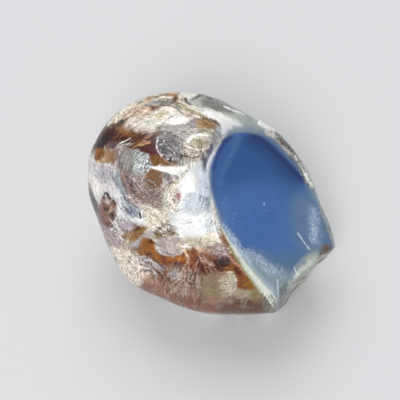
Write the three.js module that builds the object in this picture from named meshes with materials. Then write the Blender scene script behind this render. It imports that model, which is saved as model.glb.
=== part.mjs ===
// A palm-sized nodule of blue chalcedony, one solid stone. Most of it is a worn, rounded cobble in its
// natural rind. One broad slanting face has been ground through the rind as a window on the blue inside, the
// corner below the window has flaked off in curved chips, and a small flat underneath lets the stone lie
// still. Millimetres, +Z up, origin under the middle of the stone on the surface that it lies on.
import * as THREE from "three";
import { mergeVertices } from "three/addons/utils/BufferGeometryUtils.js";

// The stone is shaped in its face frame and then laid down. In the face frame u runs to the right, v runs up
// and w comes towards someone who looks at the window side from FACE_LIFT degrees above the surface.
const FACE_LIFT = 55;

// The cobble's outline round that line of sight: its radius every OUTLINE_STEP degrees, from u towards v.
const OUTLINE_STEP = 15;
const OUTLINE = [
  31.6, 29.2, 27.6, 27.8, 27.6, 28.4, 31.5, 34.9, 37.0, 38.6, 38.7, 36.2,
  33.5, 31.5, 30.7, 30.9, 30.0, 30.2, 32.4, 35.4, 38.4, 40.4, 41.4, 38.0,
];
const FRONT_DEPTH = 24; // the dome above the outline's plane
const BACK_DEPTH = 23.8; // and below it
const FULLNESS = 2.15; // 2 is an ellipse's section, and more is squarer

// Ground and worn faces. lean is the angle between a face's normal and w, and turn is that normal's angle
// round the outline. reach is the face's distance from the stone's centre and radius is its own curve.
const WINDOW = { lean: 37.5, turn: 16, reach: 20.0, radius: 400 };
const SIDE_FACE = { lean: 84, turn: 268, reach: 30.6, radius: 200 };
const BACK_FACES = [
  { lean: 128, turn: 150, reach: 31.0, radius: 110 },
  { lean: 138, turn: 25, reach: 23.8, radius: 100 },
  { lean: 122, turn: 80, reach: 26.4, radius: 90 },
];
const REST_REACH = 24.2; // the flat that it lies on, straight below the centre

// Curved chips, a broad one and two small ones at its foot. Each is a hollow of its own radius whose floor
// passes through the point at.
const CHIPS = [
  { lean: 77, turn: 317, at: [23.9, -21.9, 0], radius: 100 },
  { lean: 80, turn: 321, at: [23.3, -24.6, -9], radius: 9 },
  { lean: 80, turn: 302, at: [30.9, -16.2, -8], radius: 10 },
];
// Old dents, worn nearly smooth again.
const DENTS = [
  { lean: 112, turn: 196, at: [-31.0, -8.5, -9.6], radius: 15 },
  { lean: 150, turn: 118, at: [-6.0, 13.5, -19.0], radius: 22 },
  { lean: 104, turn: 70, at: [7.6, 25.4, -6.4], radius: 12 },
];

// How far the worn edges are rounded over. The edges of the chips and of the resting flat are sharp.
const WORN_EDGE = 6;
const SIDE_EDGE = 2.5;
const DENT_EDGE = 2.2;
const WINDOW_EDGE = { crisp: 0.6, worn: 3.2, crispBelow: -18, wornAbove: 8, crispLeftOf: 14, fadesBy: 24 };

// The gentle swells that tumbling leaves: height in mm, and turns of phase per mm along u, v and w.
const SWELLS = [
  { height: 0.28, along: [0.16, 0.07, 0.1], phase: 0.4 },
  { height: 0.22, along: [-0.09, 0.19, 0.12], phase: 2.1 },
  { height: 0.14, along: [0.21, -0.14, 0.25], phase: 4.0 },
];

// The skin is a ball's triangles moved out or in to the stone's surface: 20 * (MESH_DETAIL + 1)^2 of them.
const MESH_DETAIL = 17;
const FARTHEST = 60; // no point of the stone is farther from its centre
const HALVINGS = 40; // of that distance, to find where the surface is

// Vertices beside a crease are turned onto it, by half an edge of the mesh at most, in radians.
const SETTLING_REACH = 0.034;
const SETTLING_ROUNDS = 4;
const CREASE_NEARBY = 6; // mm between two forms, above which their crease is out of reach
const SLOPE_STEP = 1e-4; // radians
const LEAST_SLOPE = 1; // mm per radian: two forms that part more slowly make no crease
const SAME_DISTANCE = 0.01;

// The triangles crowd towards the chips, where the form is finest.
const CROWD_PULL = 0.12;
const CROWD_SPREAD = 0.1;

const { smoothstep, degToRad, euclideanModulo } = THREE.MathUtils;

// The unit vector that leans off w by lean degrees, towards turn degrees round the outline.
function aim({ lean, turn }) {
  const out = Math.sin(degToRad(lean));
  const round = degToRad(turn);
  return new THREE.Vector3(out * Math.cos(round), out * Math.sin(round), Math.cos(degToRad(lean)));
}

// The larger of a and b, with the crease between them rounded over about k.
function softMax(a, b, k) {
  const share = THREE.MathUtils.clamp(0.5 + (0.5 * (a - b)) / k, 0, 1);
  return b + (a - b) * share + k * share * (1 - share);
}

// The outline's radius at an angle, on a smooth closed curve through OUTLINE.
function outlineRadius(angle) {
  const place = euclideanModulo(THREE.MathUtils.radToDeg(angle), 360) / OUTLINE_STEP;
  const row = Math.floor(place);
  const t = place - row;
  const [a, b, c, d] = [-1, 0, 1, 2].map((k) => OUTLINE[(row + k + OUTLINE.length) % OUTLINE.length]);
  return b + 0.5 * t * (c - a + t * (2 * a - 5 * b + 4 * c - d + t * (3 * (b - c) + d - a)));
}

// Each of these is below zero inside its form, above zero outside it, and in millimetres.
function cobble(p) {
  const across = Math.hypot(p.x, p.y) / outlineRadius(Math.atan2(p.y, p.x));
  const deep = Math.abs(p.z) / (p.z > 0 ? FRONT_DEPTH : BACK_DEPTH);
  const size = (across ** FULLNESS + deep ** FULLNESS) ** (1 / FULLNESS);
  return p.length() * (1 - 1 / size);
}

function swell(p) {
  const rise = ({ height, along, phase }) => height * Math.sin(p.dot(new THREE.Vector3(...along)) + phase);
  return SWELLS.reduce((sum, s) => sum + rise(s), 0);
}

// A face is part of a large ball round the stone, and a hollow is part of a ball outside it. side tells them
// apart, and reachAlong is how far the ball's skin is from the stone's centre along a unit vector.
function ballForm(centre, radius, side) {
  const form = (p) => side * (p.distanceTo(centre) - radius);
  form.reachAlong = (direction) => {
    const along = direction.dot(centre);
    const squared = along ** 2 - centre.lengthSq() + radius ** 2;
    const reach = squared > 0 ? along + side * Math.sqrt(squared) : FARTHEST;
    return reach > 0 ? reach : FARTHEST;
  };
  return form;
}

const face = (spec) => ballForm(aim(spec).multiplyScalar(spec.reach - spec.radius), spec.radius, 1);
const hollow = (spec) =>
  ballForm(aim(spec).multiplyScalar(spec.radius).add(new THREE.Vector3(...spec.at)), spec.radius, -1);

const windowFace = face(WINDOW);
const sideFace = face(SIDE_FACE);
const backFaces = BACK_FACES.map(face);
const chips = CHIPS.map(hollow);
const dents = DENTS.map(hollow);

// The face frame's three directions once the stone lies down.
const RIGHT = new THREE.Vector3(1, 0, 0);
const UP = new THREE.Vector3(0, Math.sin(degToRad(FACE_LIFT)), Math.cos(degToRad(FACE_LIFT)));
const TOWARDS = new THREE.Vector3().crossVectors(RIGHT, UP);
const LAID_DOWN = new THREE.Matrix4().makeBasis(RIGHT, UP, TOWARDS);
const DOWN = new THREE.Vector3(0, 0, -1).applyMatrix4(LAID_DOWN.clone().invert());
const CHIP_MIDDLE = new THREE.Vector3(...CHIPS[0].at).normalize();

// The window's edge is crisp beside the chips and worn soft towards the upper left.
function windowEdge(p) {
  const { crisp, worn, crispBelow, wornAbove, crispLeftOf, fadesBy } = WINDOW_EDGE;
  const soft = smoothstep(p.y, crispBelow, wornAbove) * (1 - smoothstep(p.x, crispLeftOf, fadesBy));
  return crisp + (worn - crisp) * soft;
}

// The cobble in its rind, before the window was ground, the corner flaked and the resting flat was worn.
function rindBody(p) {
  let depth = cobble(p) - swell(p);
  for (const back of backFaces) depth = softMax(depth, back(p), WORN_EDGE);
  depth = softMax(depth, sideFace(p), SIDE_EDGE);
  for (const dent of dents) depth = softMax(depth, dent(p), DENT_EDGE);
  return depth;
}

const restingFlat = (p) => p.dot(DOWN) - REST_REACH;

function stone(p) {
  const ground = softMax(rindBody(p), windowFace(p), windowEdge(p));
  return Math.max(ground, restingFlat(p), ...chips.map((chip) => chip(p)));
}

// How far a form's skin is from the stone's centre along a unit vector.
function skinDistance(form, direction) {
  let [inside, outside] = [0, FARTHEST];
  for (let i = 0; i < HALVINGS; i += 1) {
    const middle = (inside + outside) / 2;
    if (form(direction.clone().multiplyScalar(middle)) < 0) inside = middle;
    else outside = middle;
  }
  return inside;
}

// The forms that meet in creases, as distances from the centre along a unit vector.
const creaseForms = [
  (direction) => skinDistance(rindBody, direction),
  (direction) => skinDistance(restingFlat, direction),
  windowFace.reachAlong,
  ...chips.map((chip) => chip.reachAlong),
];

// The direction beside the given one in which two forms are equally far, or the given one if they never part.
function turnToCrease(direction, one, other) {
  const sideways = new THREE.Vector3().crossVectors(direction, RIGHT).normalize();
  const tangents = [sideways, new THREE.Vector3().crossVectors(direction, sideways)];
  const gap = (d) => one(d) - other(d);
  const turned = direction.clone();
  for (let round = 0; round < SETTLING_ROUNDS; round += 1) {
    const now = gap(turned);
    const beside = (tangent) => turned.clone().addScaledVector(tangent, SLOPE_STEP).normalize();
    const slopes = tangents.map((tangent) => (gap(beside(tangent)) - now) / SLOPE_STEP);
    const slope = Math.hypot(...slopes);
    if (slope < LEAST_SLOPE) return direction;
    tangents.forEach((tangent, k) => turned.addScaledVector(tangent, (-now * slopes[k]) / slope ** 2));
    turned.normalize();
  }
  return turned;
}

// A direction whose vertex lies beside a crease turns until the vertex lies on it, so that the crease runs
// along the edges of triangles. Any other direction is given back as it is.
function settleOnCrease(direction) {
  const ranked = creaseForms.map((reach) => ({ reach, distance: reach(direction) }));
  ranked.sort((a, b) => a.distance - b.distance);
  const [first, ...others] = ranked;
  for (const other of others.filter(({ distance }) => distance - first.distance < CREASE_NEARBY)) {
    const settled = turnToCrease(direction, first.reach, other.reach);
    const here = first.reach(settled);
    const onBoth = Math.abs(other.reach(settled) - here) < SAME_DISTANCE;
    const foremost = others.every(({ reach }) => reach(settled) > here - SAME_DISTANCE);
    if (onBoth && foremost && settled.angleTo(direction) < SETTLING_REACH) return settled;
  }
  return direction;
}

function crowd(direction) {
  const closeness = Math.exp((direction.dot(CHIP_MIDDLE) - 1) / CROWD_SPREAD);
  return direction.addScaledVector(CHIP_MIDDLE, CROWD_PULL * closeness).normalize();
}

// A closed skin of even triangles, laid down with the middle of its footprint at the origin.
function stoneGeometry() {
  const ball = new THREE.IcosahedronGeometry(1, MESH_DETAIL);
  ball.deleteAttribute("normal");
  ball.deleteAttribute("uv");
  const skin = mergeVertices(ball, 1e-5);
  const points = skin.getAttribute("position");
  for (let i = 0; i < points.count; i += 1) {
    const direction = settleOnCrease(crowd(new THREE.Vector3().fromBufferAttribute(points, i).normalize()));
    const point = direction.clone().multiplyScalar(skinDistance(stone, direction)).applyMatrix4(LAID_DOWN);
    point.z = Math.max(point.z, -REST_REACH);
    points.setXYZ(i, point.x, point.y, point.z);
  }
  skin.computeBoundingBox();
  const middle = skin.boundingBox.getCenter(new THREE.Vector3());
  skin.translate(-middle.x, -middle.y, REST_REACH);
  skin.computeVertexNormals();
  return skin;
}

const polishedStone = new THREE.MeshStandardMaterial({ color: 0x8d8478, roughness: 0.22, metalness: 0 });
const chalcedony = new THREE.Mesh(stoneGeometry(), polishedStone);
chalcedony.name = "chalcedony_stone";

const part = new THREE.Group();
part.name = "blue_chalcedony";
part.add(chalcedony);

export default part;
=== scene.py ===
import math

import bpy
import numpy as np
from mathutils import Matrix, Vector


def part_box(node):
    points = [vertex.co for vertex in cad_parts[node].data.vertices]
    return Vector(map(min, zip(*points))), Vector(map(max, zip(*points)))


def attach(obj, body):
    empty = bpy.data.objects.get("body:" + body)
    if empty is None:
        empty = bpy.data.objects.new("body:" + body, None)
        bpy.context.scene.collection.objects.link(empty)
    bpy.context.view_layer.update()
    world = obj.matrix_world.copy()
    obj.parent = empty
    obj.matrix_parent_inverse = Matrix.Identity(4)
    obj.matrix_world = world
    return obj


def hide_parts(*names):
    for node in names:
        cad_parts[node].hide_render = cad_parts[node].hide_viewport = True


# A tumbled nodule of blue chalcedony. The stone is the same formula as the part's, on a finer skin, and its
# rind, its ground window and its chips are coloured by marks laid on that skin one by one.

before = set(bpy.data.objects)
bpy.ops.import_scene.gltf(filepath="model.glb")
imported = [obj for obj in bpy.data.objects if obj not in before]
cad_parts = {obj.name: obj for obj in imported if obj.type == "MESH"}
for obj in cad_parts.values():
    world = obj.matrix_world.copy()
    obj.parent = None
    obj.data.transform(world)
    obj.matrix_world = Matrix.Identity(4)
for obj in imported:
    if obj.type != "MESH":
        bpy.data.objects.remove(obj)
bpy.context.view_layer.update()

MM = 0.001

# The stone is shaped in its face frame and then laid down. In the face frame u runs to the right, v runs up
# and w comes towards someone who looks at the window side from FACE_LIFT degrees above the surface.
FACE_LIFT = math.radians(55)
RIGHT = np.array([1.0, 0.0, 0.0])
UP = np.array([0.0, math.sin(FACE_LIFT), math.cos(FACE_LIFT)])
TOWARDS = np.cross(RIGHT, UP)
LAID_DOWN = np.stack([RIGHT, UP, TOWARDS])
DOWN = LAID_DOWN @ np.array([0.0, 0.0, -1.0])

# The cobble: its outline's radius every 15 degrees in mm, its depths, and how square its section is.
OUTLINE = np.array([
    31.6, 29.2, 27.6, 27.8, 27.6, 28.4, 31.5, 34.9, 37.0, 38.6, 38.7, 36.2,
    33.5, 31.5, 30.7, 30.9, 30.0, 30.2, 32.4, 35.4, 38.4, 40.4, 41.4, 38.0,
])
FRONT_DEPTH = 24
BACK_DEPTH = 23.8
FULLNESS = 2.15

# Ground and worn faces: lean off w, turn round the outline, reach from the centre and own radius.
WINDOW = dict(lean=37.5, turn=16, reach=20.0, radius=400)
SIDE_FACE = dict(lean=84, turn=268, reach=30.6, radius=200)
BACK_FACES = [
    dict(lean=128, turn=150, reach=31.0, radius=110),
    dict(lean=138, turn=25, reach=23.8, radius=100),
    dict(lean=122, turn=80, reach=26.4, radius=90),
]
REST_REACH = 24.2

# Hollows: the chips below the window and old dents. Each one's floor passes through the point at.
CHIPS = [
    dict(lean=77, turn=317, at=(23.9, -21.9, 0), radius=100),
    dict(lean=80, turn=321, at=(23.3, -24.6, -9), radius=9),
    dict(lean=80, turn=302, at=(30.9, -16.2, -8), radius=10),
]
DENTS = [
    dict(lean=112, turn=196, at=(-31.0, -8.5, -9.6), radius=15),
    dict(lean=150, turn=118, at=(-6.0, 13.5, -19.0), radius=22),
    dict(lean=104, turn=70, at=(7.6, 25.4, -6.4), radius=12),
]

# How far each kind of edge is rounded over, and where the window's edge turns from crisp to worn.
WORN_EDGE = 6
SIDE_EDGE = 2.5
DENT_EDGE = 2.2
CRISP_EDGE = 0.6
WORN_WINDOW_EDGE = 3.2
EDGE_RISES = (-18, 8)
EDGE_FADES = (14, 24)

# Gentle swells: height in mm, radians per mm along u, v and w, and radians at the centre.
SWELLS = [
    (0.28, (0.16, 0.07, 0.1), 0.4),
    (0.22, (-0.09, 0.19, 0.12), 2.1),
    (0.14, (0.21, -0.14, 0.25), 4.0),
]

# The skin is a cube's grid blown up to a ball and crowded towards the rind in front, where detail is finest.
GRID = 128
CROWD_TOWARDS = np.array([-8.0, 0.0, 24.0])
CROWDING = 0.58
FARTHEST = 60
HALVINGS = 34

# A random field is the sum of this many waves, whose sizes vary by these shares of its own.
WAVES = 18
WAVE_SIZES = (0.6, 1.4)

# The rind's fibres run in rings round these places, given with how far each one reaches, and in a fan below.
SWIRLS = [
    ((-20.5, 11), 7.5), ((-11.6, 16), 4), ((-2.6, 18), 3.4), ((-9, 2.4), 5), ((-12, 14), 18),
]
SWIRL_RISE = 1.6
FAN_FROM = (-5, -4)
FAN_STARTS = (10, 15)
FAN_RISE = 12

# Noise drawn out along the fibres changes fast across them and only STRETCH as fast along them.
ACROSS = np.array([0.6, 0.5, 0.62])
STRETCH = 0.25

# Marks that fill an area evenly are each turned on from the last by the golden share of a turn.
GOLDEN_SHARE = 0.618
GOLDEN_TURN = 2 * math.pi * (1 - GOLDEN_SHARE)

# Dots and scratches vary by these shares of their size, width, bow and strength. A dot fades at its edge.
DOT_SIZES = (0.6, 1.5)
DOT_EDGE = (0.4, 1.6)
SCRATCH_WIDTHS = (0.7, 1.3)
SCRATCH_BOWS = (0.2, 1)
STRENGTHS = (0.5, 1)

# How squarely the skin faces the front where marks begin to show, and where they show in full.
IN_VIEW = (0.06, 0.24)

# What the gloss adds to the rind's colours, which are laid darker by as much, and the share that stays.
GLOSS = 0.036
LEAST_TINT = 0.25

# The material: how light the plain skin is, where the drawn-out hairs begin and end, the level that a speck's
# noise has to rise above and how far a layer lowers it, the roughness of the polish and what the rind adds,
# the depth of the pits in mm and the refraction of quartz.
BASE_LIGHTNESS = 0.96
HAIR_EDGE = (0.022, 0.004)
SPECK_LEVEL = 0.72
SPECK_DROP = 0.36
POLISH = 0.16
RIND_DULLNESS = 0.08
PIT_DEPTH = 0.06
QUARTZ_IOR = 1.54

# The camera looks along w from this far off, sees this much across and aims a little off the middle, in mm.
VIEW_DISTANCE = 300
FRAME_SPAN = 112.7
FRAME_OFFSET = (-3.38, 1.41)
SENSOR = 36

# The floor, in metres, and the pale room round it.
FLOOR_REACH = 3
FLOOR_COLOUR = (0.62, 0.62, 0.63, 1)
ROOM_COLOUR = (0.80, 0.82, 0.85, 1)
ROOM_STRENGTH = 0.42


def smooth(low, high, x):
    """0 below low and 1 above high, with a smooth rise between them."""
    t = np.clip((x - low) / (high - low), 0, 1)
    return t * t * (3 - 2 * t)


def aim(lean, turn):
    """The unit vector that leans off w by lean degrees, turned by turn degrees from u towards v."""
    out = math.sin(math.radians(lean))
    turn = math.radians(turn)
    return np.array([out * math.cos(turn), out * math.sin(turn), math.cos(math.radians(lean))])


def soft_max(a, b, k):
    """The larger of a and b, with the crease between them rounded over about k."""
    share = np.clip(0.5 + 0.5 * (a - b) / k, 0, 1)
    return b + (a - b) * share + k * share * (1 - share)


def between(a, b, c, d, t):
    """The smooth curve from b to c at t from 0 to 1, led by the neighbours a and d."""
    return b + 0.5 * t * (c - a + t * (2 * a - 5 * b + 4 * c - d + t * (3 * (b - c) + d - a)))


def outline_radius(angle):
    """The cobble's reach in mm at an angle round w."""
    place = (angle / (2 * math.pi) % 1) * len(OUTLINE)
    row = np.floor(place).astype(int)
    return between(*(OUTLINE[(row + k) % len(OUTLINE)] for k in (-1, 0, 1, 2)), place - row)


def cobble(p):
    """Depth below zero inside the rounded cobble and above zero outside it, in mm."""
    across = np.hypot(p[:, 0], p[:, 1]) / outline_radius(np.arctan2(p[:, 1], p[:, 0]))
    deep = np.abs(p[:, 2]) / np.where(p[:, 2] > 0, FRONT_DEPTH, BACK_DEPTH)
    size = (across ** FULLNESS + deep ** FULLNESS) ** (1 / FULLNESS)
    return np.linalg.norm(p, axis=1) * (1 - 1 / size)


def swell(p):
    """How far the gentle swells lift the surface, in mm."""
    return sum(height * np.sin(p @ np.array(along) + phase) for height, along, phase in SWELLS)


def face(p, lean, turn, reach, radius):
    """Depth above zero outside a large ball, whose cap is a nearly flat face."""
    return np.linalg.norm(p - aim(lean, turn) * (reach - radius), axis=1) - radius


def hollow(p, lean, turn, at, radius):
    """Depth above zero inside a ball that touches the point at, which scoops a hollow there."""
    return radius - np.linalg.norm(p - (aim(lean, turn) * radius + np.array(at)), axis=1)


def rind_body(p):
    """The cobble in its rind, before the window was ground, the corner flaked and the flat was worn."""
    depth = cobble(p) - swell(p)
    for back in BACK_FACES:
        depth = soft_max(depth, face(p, **back), WORN_EDGE)
    depth = soft_max(depth, face(p, **SIDE_FACE), SIDE_EDGE)
    for dent in DENTS:
        depth = soft_max(depth, hollow(p, **dent), DENT_EDGE)
    return depth


def window_edge(p):
    """How far the window's edge is rounded over at each point, in mm."""
    soft = smooth(*EDGE_RISES, p[:, 1]) * (1 - smooth(*EDGE_FADES, p[:, 0]))
    return CRISP_EDGE + (WORN_WINDOW_EDGE - CRISP_EDGE) * soft


def stone(p):
    """Below zero inside the stone and above zero outside it, in mm."""
    depth = soft_max(rind_body(p), face(p, **WINDOW), window_edge(p))
    depth = np.maximum(depth, p @ DOWN - REST_REACH)
    for chip in CHIPS:
        depth = np.maximum(depth, hollow(p, **chip))
    return depth


def skin_points(directions):
    """Where the stone's surface is along each unit vector from its centre."""
    inside = np.zeros(len(directions))
    outside = np.full(len(directions), float(FARTHEST))
    for _ in range(HALVINGS):
        middle = (inside + outside) / 2
        within = stone(directions * middle[:, None]) < 0
        inside = np.where(within, middle, inside)
        outside = np.where(within, outside, middle)
    return directions * inside[:, None]


def ball_grid():
    """Unit vectors and quads of a cube's grid blown up to a ball, crowded towards CROWD_TOWARDS."""
    steps = np.tan(np.linspace(-1, 1, GRID + 1) * math.pi / 4)
    a, b = (side.ravel() for side in np.meshgrid(steps, steps, indexing="ij"))
    one = np.ones_like(a)
    sides = [(a, b, one), (b, a, -one), (one, a, b), (-one, b, a), (b, one, a), (a, -one, b)]
    every = np.concatenate([np.stack(side, axis=1) for side in sides])
    every /= np.linalg.norm(every, axis=1)[:, None]
    corner = np.arange(GRID)[:, None] * (GRID + 1) + np.arange(GRID)
    quad = np.stack([corner, corner + GRID + 1, corner + GRID + 2, corner + 1], axis=-1).reshape(-1, 4)
    quads = np.concatenate([quad + k * (GRID + 1) ** 2 for k in range(len(sides))])
    _, first, shared = np.unique(np.round(every, 6), axis=0, return_index=True, return_inverse=True)
    return crowded(every[first]), shared.ravel()[quads]


def crowded(directions):
    """The same unit vectors drawn together round CROWD_TOWARDS, as if seen through a lens."""
    pole = CROWD_TOWARDS / np.linalg.norm(CROWD_TOWARDS)
    along = directions @ pole
    across = directions - along[:, None] * pole
    width = np.linalg.norm(across, axis=1)
    angle = 2 * np.arctan(CROWDING * np.tan(np.arctan2(width, along) / 2))
    across /= np.maximum(width, 1e-9)[:, None]
    return np.cos(angle)[:, None] * pole + np.sin(angle)[:, None] * across


def cloud(points, size, seed):
    """A smooth random field over points, mostly within -1 and 1, whose bumps are about size mm across."""
    draw = np.random.default_rng(seed)
    directions = draw.normal(size=(WAVES, 3))
    directions /= np.linalg.norm(directions, axis=1)[:, None]
    turns = math.pi / size * draw.uniform(*WAVE_SIZES, WAVES)
    phases = draw.uniform(0, 2 * math.pi, WAVES)
    return np.sin(points @ (directions * turns[:, None]).T + phases).sum(axis=1) / math.sqrt(WAVES)


def sway(points, size, reach, seeds):
    """Random shifts of about reach mm, one direction for each seed, that change over about size mm."""
    return np.stack([cloud(points, size, seed) for seed in seeds], axis=1) * reach


def fibre_lines(points, seen):
    """A height in mm whose level lines are the way that the rind's fibres run."""
    lines = 6 * cloud(points, 26, 41) + 1.5 * cloud(points, 9, 42)
    for middle, reach in SWIRLS:
        away = np.linalg.norm(seen - middle, axis=1)
        lines += SWIRL_RISE * reach * np.exp(-((away / reach) ** 2) / 2)
    below = smooth(*FAN_STARTS, -seen[:, 1])
    turned = np.arctan2(seen[:, 0] - FAN_FROM[0], np.abs(FAN_FROM[1] - seen[:, 1]) + 2)
    return lines + FAN_RISE * below * turned


def through(points, closed):
    """A smooth curve through a few points, four steps from each to the next."""
    points = np.array(points, float)
    count = len(points)
    curve = []
    for k in range(count if closed else count - 1):
        near = [k - 1, k, k + 1, k + 2]
        round_it = [points[i % count if closed else min(max(i, 0), count - 1)] for i in near]
        curve += [between(*round_it, t) for t in (0, 0.25, 0.5, 0.75)]
    return np.array(curve if closed else curve + [points[-1]])


def near_segment(p, a, b):
    """Each point's distance from a segment, and how far along the segment its nearest place is."""
    run = b - a
    share = np.clip((p - a) @ run / max(run @ run, 1e-12), 0, 1)
    return np.linalg.norm(p - a - share[:, None] * run, axis=1), share


def outline_distance(p, corners):
    """Distance from a closed outline, below zero inside it."""
    nearest = np.full(len(p), 1e9)
    inside = np.zeros(len(p), bool)
    for a, b in zip(corners, np.roll(corners, -1, axis=0)):
        nearest = np.minimum(nearest, near_segment(p, a, b)[0])
        crosses = (a[1] > p[:, 1]) != (b[1] > p[:, 1])
        rise = b[1] - a[1] if b[1] != a[1] else 1e-12
        inside ^= crosses & (p[:, 0] < a[0] + (p[:, 1] - a[1]) / rise * (b[0] - a[0]))
    return np.where(inside, -nearest, nearest)


def route_distance(p, route):
    """Distance from an open route, and how far along it each point's nearest place is, from 0 to 1."""
    nearest = np.full(len(p), 1e9)
    along = np.zeros(len(p))
    lengths = np.linalg.norm(np.diff(route, axis=0), axis=1)
    done = 0
    for a, b, length in zip(route[:-1], route[1:], lengths):
        distance, share = near_segment(p, a, b)
        closer = distance < nearest
        nearest = np.where(closer, distance, nearest)
        along = np.where(closer, (done + share * length) / lengths.sum(), along)
        done += length
    return nearest, along


def linear(colour):
    """A colour of 0 to 255 parts, as it looks on a screen, in the light's own linear parts."""
    c = np.array(colour) / 255
    return np.where(c < 0.04045, c / 12.92, ((c + 0.055) / 1.055) ** 2.4)


# Tones that several marks share, in the 0 to 255 parts of a screen colour.
WHITE = (247, 245, 241)
CHALK = (234, 230, 221)
CREAM = (224, 215, 196)
AMBER = (170, 110, 55)
TAN = (140, 110, 85)
UMBER = (104, 72, 52)
RUST = (104, 66, 54)
DUSK = (92, 84, 82)
PEWTER = (150, 147, 143)
MIST = (178, 176, 174)
SLATE = (148, 156, 163)
SOOT = (92, 84, 80)
FROST = (222, 228, 234)


class Paint:
    """Colour, grain, frost, soot, window and relief on the skin, laid mark by mark as seen from the front."""

    def __init__(self, points, facing):
        """Bare skin at these points in mm, which face the front as squarely as facing says."""
        closer = VIEW_DISTANCE / (VIEW_DISTANCE - points[:, 2])
        self.points = points
        self.plain = points[:, :2] * closer[:, None]
        self.fibres = fibre_lines(points, self.plain)
        self.drawn = points * STRETCH + self.fibres[:, None] * ACROSS
        drift = sway(points, size=3.2, reach=0.22, seeds=(13, 14))
        eddy = sway(points, size=1.1, reach=0.06, seeds=(15, 16))
        self.seen = self.plain + drift + eddy
        self.front = smooth(*IN_VIEW, facing)
        dust = np.random.default_rng(17).uniform(-1, 1, len(points))
        self.fray = 0.8 * cloud(self.drawn, 0.6, 11) + 0.4 * cloud(points, 1.6, 12) + 0.6 * dust
        self.powder = 0.4 * cloud(points, 0.7, 11) + 0.5 * cloud(points, 1.6, 12) + 0.8 * dust
        self.tint = np.zeros((len(points), 3)) + linear(CREAM)
        self.grain = np.full(len(points), 0.6)
        self.frost = np.zeros(len(points))
        self.soot = np.zeros(len(points))
        self.window = np.zeros(len(points))
        self.relief = np.zeros(len(points))

    def lay(self, where, share, colour=None, **layers):
        """Moves each named layer towards its new value by share, at the points where."""
        if colour is not None:
            self.tint[where] += (linear(colour) - self.tint[where]) * share[:, None]
        for name, value in layers.items():
            layer = getattr(self, name)
            layer[where] += (value - layer[where]) * share

    def everywhere(self, share, colour, **layers):
        """A tone laid over the whole skin, by share."""
        self.lay(slice(None), share, colour, **layers)

    def near(self, places, margin):
        """The points that face the front within margin mm of the box round these places."""
        low, high = np.min(places, axis=0) - margin, np.max(places, axis=0) + margin
        beside = np.all((self.seen > low) & (self.seen < high), axis=1)
        return np.flatnonzero(beside & (self.front > 0))

    def fill(self, where, distance, soft, share, colour, **layers):
        """A mark with a soft edge, from each point's distance outside it, where the skin faces the front."""
        inside = 1 - smooth(-soft, soft, distance)
        self.lay(where, inside * self.front[where] * share, colour, **layers)

    def patch(self, colour, outline, soft=0.6, ragged=0.35, share=1.0, **layers):
        """A patch inside a smooth outline, its edge soft over this many mm and ragged by about that many."""
        corners = through(outline, closed=True)
        where = self.near(corners, soft + 2 * ragged)
        distance = outline_distance(self.seen[where], corners)
        self.fill(where, distance + ragged * self.fray[where], soft, share, colour, **layers)

    def spot(self, colour, at, size, turn=0, soft=0.4, ragged=0.25, share=1.0, **layers):
        """An oval spot of these half sizes, turned by so many degrees."""
        where = self.near([at], max(size) + soft + 2 * ragged)
        angle = math.radians(turn)
        off = self.seen[where] - np.array(at)
        along = off @ np.array([math.cos(angle), math.sin(angle)]) / size[0]
        across = off @ np.array([-math.sin(angle), math.cos(angle)]) / size[1]
        distance = (np.hypot(along, across) - 1) * min(size)
        self.fill(where, distance + ragged * self.fray[where], soft, share, colour, **layers)

    def stroke(self, colour, route, width, end=None, soft=0.12, ragged=0.06, share=1.0, **layers):
        """A line of this width, which changes to the width end where one is given."""
        curve = through(route, closed=False)
        end = width if end is None else end
        where = self.near(curve, max(width, end) + soft + ragged)
        distance, along = route_distance(self.seen[where], curve)
        half = (width + (end - width) * along) / 2
        self.fill(where, distance - half + ragged * self.fray[where], soft, share, colour, **layers)

    def speckles(self, colour, at, size, count, turn=0, dot=0.2, seed=1, share=0.7):
        """Small dots strewn over an oval of these half sizes."""
        draw = np.random.default_rng(seed)
        where = self.near([at], max(size) + 0.6)
        angle = math.radians(turn)
        turned = np.array([[math.cos(angle), math.sin(angle)], [-math.sin(angle), math.cos(angle)]])
        inside = np.zeros(len(where))
        for _ in range(count):
            out, way = math.sqrt(draw.uniform()), draw.uniform(0, 2 * math.pi)
            place = np.array([size[0] * out * math.cos(way), size[1] * out * math.sin(way)]) @ turned + at
            across = (self.seen[where] - place) / (dot * draw.uniform(*DOT_SIZES, 2))
            strength = draw.uniform(*STRENGTHS)
            inside = np.maximum(inside, strength * (1 - smooth(*DOT_EDGE, np.hypot(*across.T))))
        self.lay(where, inside * self.front[where] * share, colour)

    def scratches(self, colour, start, end, count, spread, bow=0.3, width=0.2, seed=1, share=0.8):
        """Thin curved lines side by side, from near start to near end, each bowed by up to bow mm."""
        draw = np.random.default_rng(seed)
        start, end = np.array(start), np.array(end)
        for _ in range(count):
            a, b = start + draw.normal(0, spread / 2, 2), end + draw.normal(0, spread / 2, 2)
            first, last = sorted(draw.uniform(0, 1, 2))
            a, b = a + (b - a) * first * 0.5, b + (a - b) * (1 - last) * 0.5
            side = np.array([a[1] - b[1], b[0] - a[0]]) / max(np.linalg.norm(b - a), 0.1)
            route = [a, (a + b) / 2 + side * draw.uniform(*SCRATCH_BOWS) * bow, b]
            own_width = width * draw.uniform(*SCRATCH_WIDTHS)
            self.stroke(colour, route, own_width, share=share * draw.uniform(*STRENGTHS))

    def beds_of_scratches(self, *beds):
        """Scratches in beds, each given by colour, start, end, count, spread, bow, width, share and seed."""
        for *place, bow, width, share, seed in beds:
            self.scratches(*place, bow=bow, width=width, share=share, seed=seed)


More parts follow.
